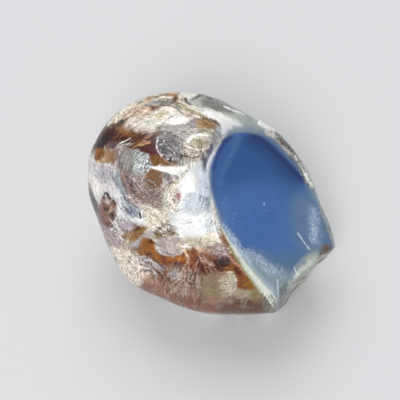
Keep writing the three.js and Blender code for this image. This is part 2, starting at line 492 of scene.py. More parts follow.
def paint_rind_all_round(paint):
    """The rind's own mottling, drawn out along its fibres, which shows wherever no mark lies over it."""
    flow = 0.5 * paint.points + 0.75 * paint.fibres[:, None] * ACROSS / np.linalg.norm(ACROSS)
    flow += sway(paint.points, size=6, reach=1.1, seeds=(33, 34, 35))
    streaks = 0.4 * cloud(paint.drawn, 1.6, 20) + 0.08 * cloud(paint.drawn, 0.7, 36)
    for colour, edge, waves, looks in (
        ((164, 148, 138), (-0.9, 0.6), [(1, 9, 21), (0.4, 4, 22)], dict(grain=0.8)),
        (TAN, (0, 0.9), [(1, 8, 24), (0.5, 4, 22)], {}),
        (UMBER, (0.4, 1.0), [(1, 7, 25), (0.3, 2.5, 26)], dict(grain=0.5)),
        (AMBER, (0.7, 1.2), [(1, 6, 27), (0.3, 2.5, 28)], dict(grain=0.4)),
        (CHALK, (0.2, 0.7), [(1, 7, 29), (0.4, 2.5, 30)], dict(frost=0.2)),
        (PEWTER, (0.5, 1.0), [(1, 6, 31), (0.4, 2, 32)], dict(soot=0.3)),
        (RUST, (0.9, 1.3), [(1, 5, 37)], {}),
        (WHITE, (0.8, 1.2), [(1, 5, 38)], dict(grain=0.3, soot=0.0)),
    ):
        height = sum(share * cloud(flow, size, seed) for share, size, seed in waves)
        paint.everywhere(smooth(*edge, height + streaks), colour, **looks)
    paint.relief += 0.1 * cloud(paint.points, 4, 39) + 0.02 * cloud(paint.drawn, 1.0, 40)


def paint_ground_tones(paint):
    """The broad tones that show between the rind's patches in front."""
    for colour, outline in (
        ((186, 172, 152), [(-34, 26), (-20, 34), (-8, 34), (-8, 24), (-22, 23), (-28, 20)]),
        ((96, 74, 62), [
            (-34, 20), (-28, 23), (-20, 22), (-9, 21), (-7, 12), (-18, 12), (-26, 15), (-34, 15),
        ]),
        ((150, 142, 134), [(-12, 22), (-4, 24), (3, 21), (0, 13), (-3, 11), (-9, 13)]),
        ((142, 132, 128), [
            (-28, 15), (-20, 15), (-15, 11), (-13, 6), (-14, -1), (-20, -1), (-25, 2), (-27, 8),
        ]),
        ((206, 204, 203), [
            (-37, 14), (-30, 14), (-26, 8), (-23, 0), (-22, -4), (-27, -4), (-32, 0), (-36, 6),
        ]),
        ((150, 134, 126), [(-34, 0), (-28, 1), (-26, -4), (-18, -6), (-20, -12), (-26, -14), (-32, -10)]),
        ((238, 234, 226), [
            (-14, 8), (-4, 13), (0, 8), (2, -9), (-2, -12), (-10, -9), (-18, -7), (-18, -1), (-13, 1),
        ]),
        ((204, 192, 178), [(-30, -11), (-22, -13), (-18, -17), (-18, -24), (-24, -24), (-30, -17)]),
        ((140, 100, 66), [
            (-22, -9), (-14, -14), (-4, -12), (4, -13), (14, -24), (2, -20), (-6, -20), (-20, -16),
        ]),
        ((138, 113, 104), [(-20, -20), (-14, -18), (0, -18), (14, -24), (18, -34), (-10, -34), (-24, -26)]),
    ):
        paint.patch(colour, outline, soft=2.0, ragged=0.8, grain=0.8, soot=0.0, frost=0.0)


def paint_crown(paint):
    """The top edge, from the ochre rim on the left to the grey translucent shoulder, with painted highlights
    along the left rim.
    """
    paint.patch((206, 196, 178), [
        (-29.6, 22.4), (-27.6, 24.4), (-24.6, 27.6), (-22, 29.4), (-18, 31), (-12, 32.4), (-10, 28.4),
        (-14, 28.4), (-18, 28), (-22.4, 26), (-26.4, 23.6),
    ], grain=0.8)
    paint.patch((206, 180, 158), [
        (-24.4, 26.8), (-20.5, 28.2), (-16, 28), (-16.4, 26.2), (-19.4, 25.3), (-22.6, 25), (-24.8, 24.2),
        (-25.4, 25.2),
    ], grain=0.6)
    paint.stroke((198, 152, 120), [(-21.5, 26.3), (-19.4, 27), (-17, 27.2)], 0.6, share=0.8)
    paint.scratches((224, 206, 188), (-24, 25.4), (-18, 27.6), 9, 1.6, bow=0.3, width=0.25, seed=60)
    paint.patch(PEWTER, [
        (-18.4, 28.3), (-15.6, 29.5), (-11.6, 29.8), (-9.4, 28.8), (-8.4, 26.2), (-10.6, 27.4), (-14, 28),
        (-18, 27.6),
    ], grain=1.0, soot=0.3)
    paint.stroke(DUSK, [(-14.4, 28), (-12, 27.8), (-10, 27), (-8.3, 26)], 0.55)
    paint.spot(RUST, (-15.5, 27.25), (1.3, 0.38), 5)
    paint.stroke((170, 140, 98), [(-18.4, 30.2), (-14, 31), (-10, 31.4)], 0.8, share=0.8)
    paint.stroke(UMBER, [(-16.6, 30.6), (-13, 31.2), (-9.8, 31.1)], 0.35, share=0.7)
    paint.stroke(CREAM, [(-16.4, 29.9), (-13, 30.6), (-10.6, 30.5)], 0.5)
    paint.spot((176, 120, 52), (-17.8, 29.9), (1.5, 0.6), 15, soft=0.3)
    paint.spot(UMBER, (-10.3, 29.9), (0.8, 1.1))
    # Painted highlights: thin white glints along the left and upper left rim.
    for route in (
        [(-34.3, 12.4), (-34.6, 10), (-34.3, 7.8)],
        [(-29.4, 22.9), (-28.6, 23.8)],
        [(-26.4, 26), (-24.6, 27.6)],
    ):
        paint.stroke(WHITE, route, 0.5, grain=0.2)


def paint_shoulder(paint):
    """The grey translucent shoulder above the window and the crest at the top, with painted shade along its
    top edge, a painted reflection under the crest and a painted highlight on the upper right rim.
    """
    paint.patch((178, 178, 172), [
        (-9.4, 32.6), (-3, 32.4), (2, 30.6), (8, 27.6), (14, 24.4), (18.4, 21), (14, 20), (6, 20.4),
        (2.4, 19), (-1, 24.6), (-5, 26.6), (-8.4, 29.6),
    ], soft=0.5, grain=0.25, soot=0.0)
    paint.patch((184, 189, 180), [
        (4, 24.6), (8, 26.4), (12.6, 24), (14, 21.6), (9, 21.2), (4.6, 21.6),
    ], soft=1.2, grain=0.1)
    paint.patch((134, 134, 130), [
        (-3, 29.6), (1, 29.8), (4, 28.2), (5.6, 26), (2, 26), (-2, 27),
    ], soft=0.8, grain=0.4)
    paint.patch(CHALK, [
        (-8.8, 31.8), (-5.6, 32.2), (-2, 31.6), (-0.2, 30.8), (-3, 31), (-5.4, 30.4), (-6.6, 29.8),
        (-8, 30.4),
    ], soft=0.2)
    # Painted shade: a darker grey band along the shoulder's top edge.
    paint.stroke((134, 138, 140), [
        (-1, 30.2), (3, 29), (7, 27.2), (11, 24.8),
    ], 1.0, 1.4, soft=0.7, share=0.8)
    # Painted reflection: a dark crescent under the white crest.
    paint.stroke((84, 82, 74), [
        (-5.4, 30.1), (-3.8, 30.7), (-1.8, 30.7), (-0.2, 30.3),
    ], 0.45, 0.7, soft=0.25)
    paint.stroke((88, 82, 62), [(-7.5, 30.1), (-7, 28.9), (-5.4, 28), (-3.2, 27.1)], 0.7, 0.3)
    paint.stroke((218, 212, 192), [
        (-9, 31), (-8.8, 29.3), (-7.2, 27.9), (-4.6, 26.6), (-1, 25.5),
    ], 0.7, 0.4)
    paint.stroke((158, 148, 118), [
        (-10, 28.4), (-8, 27.4), (-5.8, 26.4), (-3.2, 25.2), (-1, 24.6),
    ], 1.0, 0.7)
    paint.stroke((116, 104, 84), [
        (-9.6, 27.9), (-7.6, 26.9), (-5.4, 25.8), (-3.2, 24.8),
    ], 0.35, 0.2, share=0.7)
    paint.patch(WHITE, [
        (-3.8, 26.2), (-1, 26.4), (3, 25.4), (5.4, 24.4), (7.8, 22.9), (5.6, 21.6), (3.4, 19.8),
        (2.6, 20.8), (2, 22.4), (0.4, 23.8), (-2, 25),
    ], soft=0.4, ragged=0.45, grain=0.1)
    paint.spot(WHITE, (4.2, 23), (2.2, 1.4), -35, soft=0.5, grain=0.0)
    # Painted highlight: a bright white line along the upper right rim.
    paint.stroke(WHITE, [(3.3, 27.8), (6, 26.8), (9, 25.5)], 0.5, 0.25)
    paint.stroke((222, 221, 214), [(-5.6, 27.7), (-3, 27.1), (0.4, 26.3)], 0.8, 0.5, soft=0.4)
    paint.patch((142, 112, 78), [
        (-4.6, 23.8), (-3.4, 24.6), (-1.4, 24.2), (0.6, 23.2), (1.2, 22.2), (-0.6, 21.6), (-2.6, 21.9),
        (-4.4, 22.6),
    ], soft=0.7, ragged=0.5, grain=1.0, soot=0.15)
    paint.stroke(DUSK, [(-0.8, 24.4), (0.6, 23.5), (1.9, 22.3)], 0.3)


def paint_lens(paint):
    """The pale lens and the dark rust with its amber glows beside it, at the upper left."""
    paint.patch((80, 50, 38), [
        (-33, 17), (-31, 20.4), (-28, 22.8), (-24, 23), (-21, 21), (-18, 20.6), (-15.6, 20), (-15.2, 15),
        (-12, 11.6), (-17, 11.2), (-18, 14), (-22, 15.6), (-26, 16.6), (-30, 16),
    ], soft=0.9, grain=0.34)
    paint.patch((86, 76, 70), [
        (-31.6, 20.6), (-29.4, 22.8), (-26.6, 24), (-23.6, 24.4), (-22.4, 22.6), (-26.4, 21.9), (-29, 21.4),
    ], soft=0.5, grain=1.0, soot=0.3, frost=0.15)
    paint.patch(CREAM, [
        (-29.6, 22.5), (-27.4, 24.8), (-24.2, 28), (-22.8, 27.4), (-24.8, 25), (-27.4, 23),
    ], soft=0.25)
    paint.patch((74, 36, 30), [
        (-32.6, 17), (-30.8, 19.6), (-28.6, 21.3), (-26.6, 21.4), (-26.2, 20), (-28, 18.6), (-29.6, 17.4),
        (-31, 16.6),
    ], soft=0.7, grain=0.5)
    paint.spot((28, 15, 14), (-30.7, 18.2), (1.4, 0.8), 45, soft=0.7)
    paint.spot((150, 116, 92), (-24.6, 21.2), (2.2, 1.0), -14, soft=0.8)
    paint.spot((134, 96, 50), (-22.9, 19.9), (1.7, 0.7), -18, soft=0.7)
    paint.spot((112, 84, 56), (-20.4, 20.3), (1.4, 0.6), -12, soft=0.7)
    paint.spot((126, 88, 60), (-20.6, 17.9), (2.4, 0.9), -6, soft=0.8, grain=0.3)
    paint.patch((84, 40, 31), [
        (-18.6, 19.4), (-16.6, 20), (-15.8, 18.8), (-15.6, 16.4), (-15, 14.6), (-16, 13.6), (-18, 14.4),
        (-20.6, 15), (-19, 16.4), (-17.2, 17.4), (-17.8, 18.4),
    ], soft=0.6, grain=0.5)
    paint.patch((214, 208, 197), [
        (-22.8, 24), (-20.5, 24.8), (-18, 25), (-16, 26.2), (-14.5, 27.2), (-12.6, 27.6), (-10.5, 27.1),
        (-8.2, 26), (-6, 24.8), (-7.5, 23.3), (-10, 22.7), (-13, 22.6), (-15, 22.2), (-16.6, 21.2),
        (-18.5, 21.2), (-20.5, 21.5), (-22.4, 22),
    ], grain=0.5, soot=0.06)
    paint.spot((178, 170, 136), (-14.4, 25.3), (1.9, 0.55), 12, soft=0.5)
    paint.spot((196, 200, 186), (-18, 23.4), (1.4, 0.8), soft=0.6)
    paint.spot((206, 188, 170), (-21.6, 24.4), (1.4, 0.7), 20, soft=0.6, grain=0.9, soot=0.2)
    paint.patch((142, 138, 136), [
        (-15, 22.3), (-12.4, 23), (-10, 22.6), (-8, 22.9), (-5.6, 24), (-4.6, 23.6), (-6, 22), (-8, 21),
        (-10, 20.2), (-12.4, 20.2), (-14.4, 21),
    ], grain=0.9, soot=0.1)
    paint.stroke((96, 92, 88), [(-16, 21.6), (-14.3, 23), (-12.6, 24.1), (-10.9, 24.9)], 0.3)
    paint.stroke((176, 172, 168), [(-14.8, 21.2), (-12, 21.6), (-9, 21.4), (-6.6, 22.2)], 0.5, share=0.6)
    paint.patch(WHITE, [
        (-13.6, 23.4), (-12, 24), (-10.6, 24.7), (-8, 24.9), (-5.6, 24.7), (-7.6, 23.2), (-10, 22.8),
    ], soft=0.45, ragged=0.3, share=0.85, grain=0.2)
    paint.stroke((96, 82, 70), [(-22.4, 21.6), (-19, 20.9), (-16.8, 20.8), (-15, 21.6)], 0.5, share=0.7)
    paint.patch((116, 98, 100), [
        (-30.3, 16.4), (-29.2, 17.8), (-27.6, 18.4), (-25.6, 18.1), (-24.2, 17.4), (-25.8, 16.2),
        (-27, 14.8), (-28.4, 15.6),
    ], grain=1.0)
    paint.beds_of_scratches(
        ((206, 196, 192), (-27, 15.2), (-22.6, 18.3), 14, 1.4, 0.3, 0.2, 0.7, 61),
        ((192, 156, 122), (-24, 16.2), (-17.6, 17.8), 8, 1.0, 0.2, 0.14, 0.35, 62),
        ((164, 118, 96), (-28, 18.6), (-22.6, 20.8), 9, 1.2, 0.3, 0.15, 0.5, 63),
        ((196, 160, 136), (-19.4, 18.2), (-16.4, 20.2), 5, 0.8, 0.2, 0.18, 0.6, 64),
        ((52, 30, 26), (-28, 17.6), (-18, 18.4), 10, 2.4, 0.5, 0.25, 0.6, 65),
    )
    paint.spot((226, 217, 206), (-21.4, 23.4), (2.6, 1.4), 24, soft=0.9, share=0.7)
    paint.spot((208, 196, 184), (-20, 21.3), (3.0, 0.8), -6, soft=0.6, ragged=0.5, share=0.85, grain=0.9)
    for route, colour in (
        ([(-26.8, 16.7), (-24.7, 18), (-22.9, 18.9)], CHALK),
        ([(-26.6, 13.9), (-25.4, 15.3), (-24.2, 16.2)], CHALK),
        ([(-22, 16.5), (-20, 16.9), (-17.8, 17.5)], (196, 158, 118)),
    ):
        paint.stroke(colour, route, 0.24)


def paint_left_cheek(paint):
    """Amber, pinkish tan and grey lichen-like patches on the left, above the slate band."""
    paint.spot((52, 36, 26), (-31.9, 16.8), (1.2, 1.1), soft=0.6)
    paint.spot((132, 88, 44), (-31.7, 14.2), (1.5, 2.0), soft=0.6)
    paint.patch((146, 118, 98), [
        (-30.3, 15.6), (-28, 15.6), (-27.1, 14), (-26.9, 12.2), (-28.4, 11.2), (-30, 11.4), (-31.6, 12.2),
        (-30.5, 13.4),
    ], grain=0.7)
    paint.spot((216, 178, 134), (-30.9, 12.5), (0.8, 0.4), 30)
    paint.patch((190, 186, 184), [
        (-31.6, 11.8), (-28.6, 11), (-27, 9), (-26.6, 6.4), (-28.4, 7), (-30.4, 8.6),
    ], grain=0.9)
    paint.patch((149, 146, 143), [
        (-26.4, 14), (-25, 15.6), (-23.4, 16.2), (-21.4, 15.5), (-20.6, 14.5), (-18.4, 14), (-17.6, 13),
        (-17.4, 11.4), (-18, 10), (-19, 8.6), (-20.4, 7.8), (-22, 8.6), (-23.4, 8.8), (-24.8, 9.6),
        (-25.8, 11.4),
    ], grain=0.7)
    paint.patch((178, 184, 181), [
        (-21.8, 14.6), (-20.4, 14.5), (-18.2, 13.8), (-17.5, 12.2), (-17.9, 10.4), (-19.2, 9.2),
        (-20.6, 8.8), (-21.8, 10.4), (-22.2, 11.6),
    ], soft=0.8, grain=1.2, soot=0.5)
    cells, reach, turn = 22, 2.9, 2.4
    for k in range(cells):
        out, way = reach * math.sqrt((k + 0.5) / cells), k * turn
        at = (-19.7 + 0.75 * out * math.cos(way), 11.8 + out * math.sin(way))
        paint.spot((92, 98, 98), at, (0.54, 0.46), soft=0.2)
        paint.spot((218, 226, 224), at, (0.32, 0.26), soft=0.2)
    paint.patch((144, 126, 121), [
        (-25.4, 9.4), (-23.2, 8.8), (-20.2, 8), (-18.2, 8.4), (-18, 6), (-16.8, 5), (-14, 5), (-13.4, 3.6),
        (-13.6, 1), (-14, -1.4), (-16, -0.6), (-18.6, 0), (-20, 0.6), (-22.2, 0.6), (-24.4, 1.6),
        (-24.8, 4),
    ], grain=0.9, frost=0.12, soot=0.2)
    paint.patch((196, 170, 166), [
        (-24, 3.4), (-22.6, 2.4), (-20.4, 1.6), (-20.6, 0.2), (-22.6, 0.2), (-24.2, 1.4),
    ], grain=0.6)
    paint.stroke((66, 46, 44), [(-22.7, 2.4), (-22, 1.6), (-21.6, 0.8)], 0.5)
    paint.stroke((120, 98, 88), [(-23, 4.2), (-21.2, 3), (-19.8, 2)], 0.9, soft=0.4, share=0.8)
    paint.stroke(DUSK, [
        (-26.7, 14.4), (-26.4, 12), (-26, 9.5), (-25.4, 7), (-24.7, 5), (-24.4, 3), (-24, 1.6),
    ], 0.6, soft=0.5, share=0.7)
    paint.stroke(MIST, [(-27.2, 12), (-26.6, 9), (-25.9, 6.4), (-25, 4), (-24.3, 2.2)], 0.35)
    for route in (
        [(-23.4, 5.4), (-23.2, 7.2), (-22.6, 8.5)],
        [(-21.9, 4.6), (-21.9, 6.8)],
        [(-20, 4.8), (-19.5, 7.8)],
    ):
        paint.stroke((192, 184, 184), route, 0.35)
    paint.stroke((82, 62, 62), [(-22.9, 4), (-22.8, 6.6)], 0.4)
    paint.beds_of_scratches(
        ((206, 200, 198), (-31, 9.6), (-25.4, 1.4), 14, 2.2, 0.4, 0.28, 0.6, 71),
        ((120, 116, 120), (-30.4, 10.4), (-25, 2.4), 12, 2.2, 0.4, 0.25, 0.6, 72),
        ((84, 70, 70), (-24.6, 10), (-21.8, 2.6), 10, 1.8, 0.3, 0.28, 0.6, 73),
        ((190, 182, 180), (-23.4, 9), (-20, 4), 9, 1.8, 0.3, 0.22, 0.6, 74),
    )


def paint_brow(paint):
    """Brown, the grey swirl with its white arc and the cream swirl, in the middle above the white wedge."""
    paint.patch((122, 90, 56), [
        (-17.5, 13.4), (-15.4, 14.4), (-14.2, 13.4), (-12.6, 12.3), (-10.8, 11.4), (-13, 11.1), (-16, 11.1),
        (-17.4, 12),
    ], grain=0.4)
    paint.patch((98, 74, 60), [
        (-14.2, 13.8), (-12, 13.4), (-9.8, 12.4), (-9.6, 11.4), (-12, 11.8),
    ], grain=0.5)
    paint.patch((110, 105, 103), [
        (-15.8, 19.2), (-13, 20.4), (-10.4, 20), (-8.6, 18.4), (-8.4, 16.4), (-8.6, 14), (-9.6, 12),
        (-12.4, 12.6), (-14, 14), (-15.1, 15.8), (-15.7, 17.4),
    ], grain=1.7, frost=0.15, soot=0.35)
    paint.patch((140, 136, 132), [
        (-10.6, 20.4), (-7.4, 21.4), (-5.4, 23), (-4, 22.4), (-6, 20.4), (-8, 19), (-9, 17), (-10, 18),
    ], grain=1.6, soot=0.3)
    paint.spot((86, 87, 92), (-13.3, 15.6), (1.3, 1.2), soft=0.6, grain=1.2)
    paint.stroke(MIST, [(-14.3, 16.9), (-12.2, 17)], 0.3)
    for k in range(44):
        turn = k * GOLDEN_TURN
        high = 1.4 + 3.4 * (k * GOLDEN_SHARE % 1)
        wide = 1.15 * high
        turns = (turn, turn + 0.35, turn + 0.7)
        arc = [(-11.8 + wide * math.cos(t), 16.4 + high * math.sin(t)) for t in turns]
        paint.stroke((186, 186, 188) if k % 2 else (74, 72, 74), arc, 0.2, share=0.55)
    paint.stroke((228, 218, 222), [
        (-15.3, 18.5), (-15.5, 17.2), (-15.3, 15.9), (-14.8, 14.6), (-14.2, 13.6),
    ], 0.4, 0.3)
    paint.stroke((192, 152, 130), [(-14.2, 13.6), (-13, 12.5), (-11.6, 11.9), (-10.4, 11.2)], 0.28)
    paint.patch((184, 176, 162), [
        (-9, 17.4), (-7.4, 19), (-5.4, 20.2), (-3, 20.6), (-1, 21), (0.8, 20.8), (1.6, 19), (0.4, 16.6),
        (-1.6, 15.8), (-4, 15.2), (-6, 15.6), (-8, 16.4),
    ], grain=0.8, soot=0.15)
    paint.patch((186, 178, 162), [
        (-5, 22), (-2, 22.6), (0, 21.6), (2.6, 20.6), (2.4, 18.6), (1.4, 16.6), (0.6, 18), (0, 20.4),
        (-2.4, 20.8),
    ], grain=1.0, soot=0.3)
    paint.stroke(WHITE, [(-7, 17.8), (-5.4, 19.3), (-3.4, 20), (-1.2, 19.6)], 0.9, 0.35, soft=0.2)
    paint.stroke((226, 220, 208), [(-8.4, 16.6), (-6, 15.9), (-3.2, 15.7), (-0.8, 16.4)], 0.35, 0.5)
    paint.stroke((110, 98, 80), [(-7.2, 16.9), (-4.8, 16.2), (-2.4, 16.3)], 0.25, share=0.7)
    paint.patch((162, 152, 128), [
        (-6, 17.6), (-4.6, 18.5), (-2.4, 18.5), (-0.8, 17.6), (-2.6, 16.8), (-4.8, 16.7),
    ], grain=0.8)
    paint.stroke((128, 118, 98), [(-3.8, 20.6), (-2, 21.2), (-0.8, 21)], 0.5)
    paint.stroke((150, 140, 122), [(-8.2, 16), (-6, 15.2), (-3.8, 15)], 0.5)
    paint.patch((176, 164, 150), [
        (-9.4, 15), (-7, 15.6), (-4, 15), (-1.4, 15.2), (-2, 13.4), (-4, 13), (-7, 13.2), (-9, 13.8),
    ], grain=1.0, soot=0.3)
    paint.patch((104, 88, 76), [
        (-0.7, 16.4), (0, 17.4), (0.4, 16.4), (0.5, 15), (-0.1, 14.2), (-0.9, 13.8), (-1.2, 14.8),
    ], soft=0.4, grain=1.4, soot=0.4)
    paint.stroke((70, 56, 46), [(-8.9, 14), (-7, 13.5), (-5.2, 13.5), (-3.8, 13.7)], 0.42)
    paint.patch((104, 98, 92), [
        (-2.6, 13.6), (-0.8, 14), (-1.2, 12), (-1.8, 10), (-2.4, 8), (-3, 10), (-2.8, 12),
    ], grain=1.0, soot=0.3, frost=0.1)
    paint.patch(PEWTER, [
        (-9.4, 13.6), (-7, 13), (-4.4, 12.8), (-6, 11.8), (-7.6, 10.8), (-9.6, 11.2),
    ], grain=0.9, soot=0.2)


def paint_heart(paint):
    """The white wedge and the big white triangle with their speckled surroundings."""
    paint.patch((130, 100, 78), [
        (-17.9, 9.8), (-17, 10.2), (-14, 9.6), (-12.4, 8.8), (-13.2, 7.6), (-13.6, 6.2), (-15, 5.3),
        (-17, 5.1), (-18.4, 6.2), (-18.2, 8),
    ], grain=0.2)
    paint.spot((112, 82, 64), (-17.2, 6), (1.1, 0.6), -20, soft=0.5)
    paint.patch((212, 206, 192), [
        (-14, 4.2), (-12.8, 6), (-11, 7.6), (-9, 8.8), (-7.4, 10.4), (-6, 11.8), (-4.4, 12.6), (-4.2, 11.4),
        (-6.6, 9), (-8.6, 6.4), (-9.8, 3.4), (-9.6, 0), (-9.6, -1.6), (-12.4, -1.8), (-13.4, 0), (-13.9, 2),
    ], grain=1.0, soot=0.35)
    paint.patch((140, 134, 132), [
        (-13.8, 8), (-12.4, 8.9), (-10.6, 8.8), (-9.6, 8.2), (-10.8, 6.8), (-12, 5.2), (-13.6, 4.4),
    ], grain=1.0, soot=0.2)
    paint.spot((164, 154, 118), (-10.5, 6.4), (0.8, 0.5), soft=0.4)
    paint.spot((196, 186, 138), (-8.1, 8.4), (0.6, 0.4))
    paint.patch(WHITE, [
        (-18, 11.4), (-17, 10.8), (-14, 10.9), (-10, 10.8), (-7.6, 11), (-7.2, 10), (-8.6, 8.6), (-10, 8.3),
        (-12.4, 8.9), (-15, 9.7), (-17.2, 10.3),
    ], soft=0.18, ragged=0.06, grain=0.15)
    paint.patch((216, 210, 192), [
        (-18.8, -0.8), (-16.4, -1.6), (-14.4, -2.2), (-12.4, -2), (-11.8, -4), (-12.4, -5.6), (-14.6, -5),
        (-15.8, -6), (-17, -6.6), (-18.6, -4.6), (-19.6, -3.6), (-19.8, -1),
    ], soft=1.0, ragged=0.6, grain=0.5, soot=0.15)
    paint.spot((228, 222, 200), (-16.4, -3.2), (1.5, 1.9), -30, soft=1.2, ragged=0.4)
    paint.patch((216, 217, 215), [
        (-4, 12.4), (-2.8, 11.6), (-1.9, 9), (-1.3, 7), (-0.9, 4), (-0.1, 1), (0.4, -2), (0.5, -5),
        (1, -7.6), (-1, -8.6), (-4, -9.4), (-7, -9), (-9, -7.7), (-10.8, -6), (-12, -4.2), (-12.3, -2.3),
        (-10.6, -2), (-9.2, -1), (-8.6, 0.8), (-8.6, 3.4), (-9.6, 5.4), (-8.4, 7), (-6.4, 9.4),
    ], soft=0.3, ragged=0.3, grain=0.14, soot=0.06)
    paint.patch((168, 176, 183), [
        (-6.8, 3), (-4, 3.4), (-1.2, 3), (-0.4, 0), (-0.6, -2), (-2.8, -2.8), (-6, -2.7), (-8, -2),
        (-8.4, -0.4),
    ], soft=1.0, grain=0.4, soot=0.35)
    paint.patch((238, 242, 244), [
        (-3.6, 9), (-2.5, 10), (-1.5, 8), (-1, 5), (-1, 3), (-3.4, 3.4), (-3.8, 6),
    ], soft=0.8, grain=0.3, soot=0.35)
    paint.patch((128, 130, 124), [
        (-1.7, -5.6), (0, -4.2), (0.9, -6), (1.2, -8.2), (-0.8, -8.4), (-1.7, -7),
    ], grain=0.9, soot=0.2)
    paint.spot(WHITE, (-6.2, 6.4), (2.2, 2.4), -30, soft=1.2)
    paint.spot((192, 196, 200), (-1, -6), (2.2, 1.8), 20, soft=1.2, share=0.75)
    paint.spot((190, 190, 186), (-9, 8.6), (1.4, 1.2), 30, soft=0.8, share=0.6)
    for at in ((-3.4, -4.6), (-6.8, -4.8), (-5.8, -5.1), (-1.6, -5.8)):
        paint.spot((150, 148, 156), at, (0.35, 0.3))
    paint.spot((126, 52, 52), (-9.2, 2.3), (0.75, 1.15), 10, grain=0.6)
    paint.stroke((108, 92, 84), [(-10.8, 1.6), (-10.4, 0.5), (-9.5, 0.4), (-8.9, 1)], 0.4, soot=0.3)
    paint.stroke((112, 106, 98), [(-11.4, -0.9), (-10.9, -1.6), (-10.1, -2), (-9.6, -1.5)], 0.38)
    paint.patch((190, 181, 160), [
        (-7.4, -8.8), (-4, -8.8), (-1, -8.2), (0.9, -7.6), (1.5, -9.4), (2, -10.4), (0.6, -11), (-0.6, -12),
        (-2.6, -12), (-4.4, -12.4), (-6.6, -12), (-7.2, -10.4),
    ], grain=0.6, soot=0.1)
    paint.patch((193, 190, 172), [
        (-6, -10.6), (-3.9, -10.7), (-3.6, -11.8), (-5.6, -12),
    ], soft=0.25, grain=0.3)


def paint_left_flank(paint):
    """The white and slate flank on the left and the brown ends below it."""
    paint.patch((214, 211, 209), [
        (-35.4, 13), (-33.2, 11.8), (-32, 10.2), (-30.4, 8.4), (-28.4, 7.2), (-26.6, 5.4), (-25.8, 3.6),
        (-25.6, 1.6), (-26, 0), (-27.4, 1.8), (-28.8, 2.4), (-30, 4), (-30.6, 2.2), (-31, 0.4), (-32, 0.6),
        (-32.8, 2.6), (-34, 5.4), (-35.6, 8),
    ], grain=0.5)
    paint.spot((176, 173, 178), (-30.8, 8.6), (1.8, 2.6), 60, soft=1.2)
    paint.spot((238, 234, 228), (-33.2, 5.6), (1.2, 3.4), 15, soft=0.8)
    paint.patch(SLATE, [
        (-28.2, 8.6), (-26.6, 9), (-26, 7), (-25.2, 5), (-24.6, 2.8), (-23.8, 0.8), (-22.4, 0), (-21, -0.6),
        (-20.4, -2.6), (-21.6, -3.4), (-23.4, -2.8), (-24.8, -1), (-25.8, 1), (-26.2, 3.6), (-27.4, 6),
    ], soft=0.5, grain=0.4)
    paint.spot((122, 126, 142), (-22.5, -1.3), (1.3, 1.2), soft=0.8)
    paint.beds_of_scratches(
        ((84, 76, 84), (-26.2, 3.4), (-22.4, -3.2), 10, 2.0, 0.15, 0.26, 0.6, 96),
        ((232, 232, 236), (-27.4, 4.4), (-23.6, -2.8), 12, 2.2, 0.15, 0.26, 0.6, 97),
    )
    paint.patch((226, 227, 227), [
        (-26.5, 0.4), (-25.6, -0.6), (-25, -2), (-23.6, -3.2), (-22, -3.7), (-20.6, -3.2), (-19.6, -1.6),
        (-18.8, -3.4), (-19.4, -5.6), (-21.2, -4.8), (-22.6, -4.4), (-24, -4), (-25.4, -3.4), (-26.6, -2),
    ], grain=0.5, soot=0.08)
    paint.patch((128, 98, 87), [
        (-30.6, 2.6), (-28.6, 1.8), (-27.2, 0), (-26.8, -2.4), (-26.4, -4), (-27.2, -5.4), (-29.4, -5.8),
        (-31.4, -5.4), (-32.4, -3), (-32.4, -0.6), (-31.2, 0.6),
    ], grain=0.9, frost=0.05)
    paint.spot((180, 156, 140), (-28.5, -1.3), (0.7, 0.8))
    paint.spot((190, 176, 170), (-29.4, 1.2), (0.8, 0.7))
    paint.spot((68, 40, 34), (-29.7, -0.8), (0.9, 0.7))
    paint.spot((64, 46, 40), (-27.9, -3), (0.5, 1.2), 10)
    paint.spot((106, 54, 52), (-30, -5.2), (1.2, 0.5))
    for route in (
        [(-30.4, 2.2), (-29.8, 3.8), (-28.6, 1.9)],
        [(-27.9, 1.2), (-27.2, 0)],
        [(-25.9, -4.6), (-25, -3.9), (-24, -5.2)],
        [(-20.4, -2.2), (-20.1, -3.6)],
    ):
        paint.stroke((74, 60, 60), route, 0.45)
    paint.patch((48, 40, 31), [
        (-36, 7), (-34.3, 4.6), (-33.2, 2.2), (-32.1, 0.4), (-31.9, -1), (-32.6, -2.8), (-33.6, -3),
        (-36, 2),
    ], soft=0.35, ragged=0.25, grain=0.4)
    paint.patch((166, 152, 149), [
        (-31.8, -5.8), (-29.4, -6), (-27.4, -5.6), (-26.6, -6.8), (-26, -9), (-25.6, -11.6), (-27.6, -12),
        (-28.8, -11.4), (-30.4, -9),
    ], grain=0.9)
    paint.spot((176, 160, 163), (-27.1, -11), (1.4, 1.2), soft=0.6)
    paint.stroke((66, 46, 44), [(-28.6, -6.1), (-27.4, -5.7), (-26.9, -7), (-27.4, -8)], 0.5)
    paint.stroke((236, 231, 227), [(-27, -4.6), (-26.5, -6.2), (-25.9, -8.2), (-25.2, -9.8)], 0.9, 0.6)
    paint.stroke((230, 225, 224), [(-28.8, -7.2), (-27.7, -6.6), (-26.8, -7.2)], 0.4)
    paint.beds_of_scratches(
        ((236, 230, 230), (-28.4, -4.6), (-25.8, -11), 14, 2.6, 0.2, 0.3, 0.7, 94),
        ((96, 74, 74), (-28.6, -5), (-26, -11), 9, 2.6, 0.2, 0.26, 0.6, 95),
    )
    paint.patch((174, 162, 172), [
        (-25.8, -5), (-24.6, -4.5), (-23.4, -4.8), (-22.4, -5.2), (-22.6, -6.4), (-24.4, -6.8),
        (-25.4, -6.4),
    ], grain=0.4)


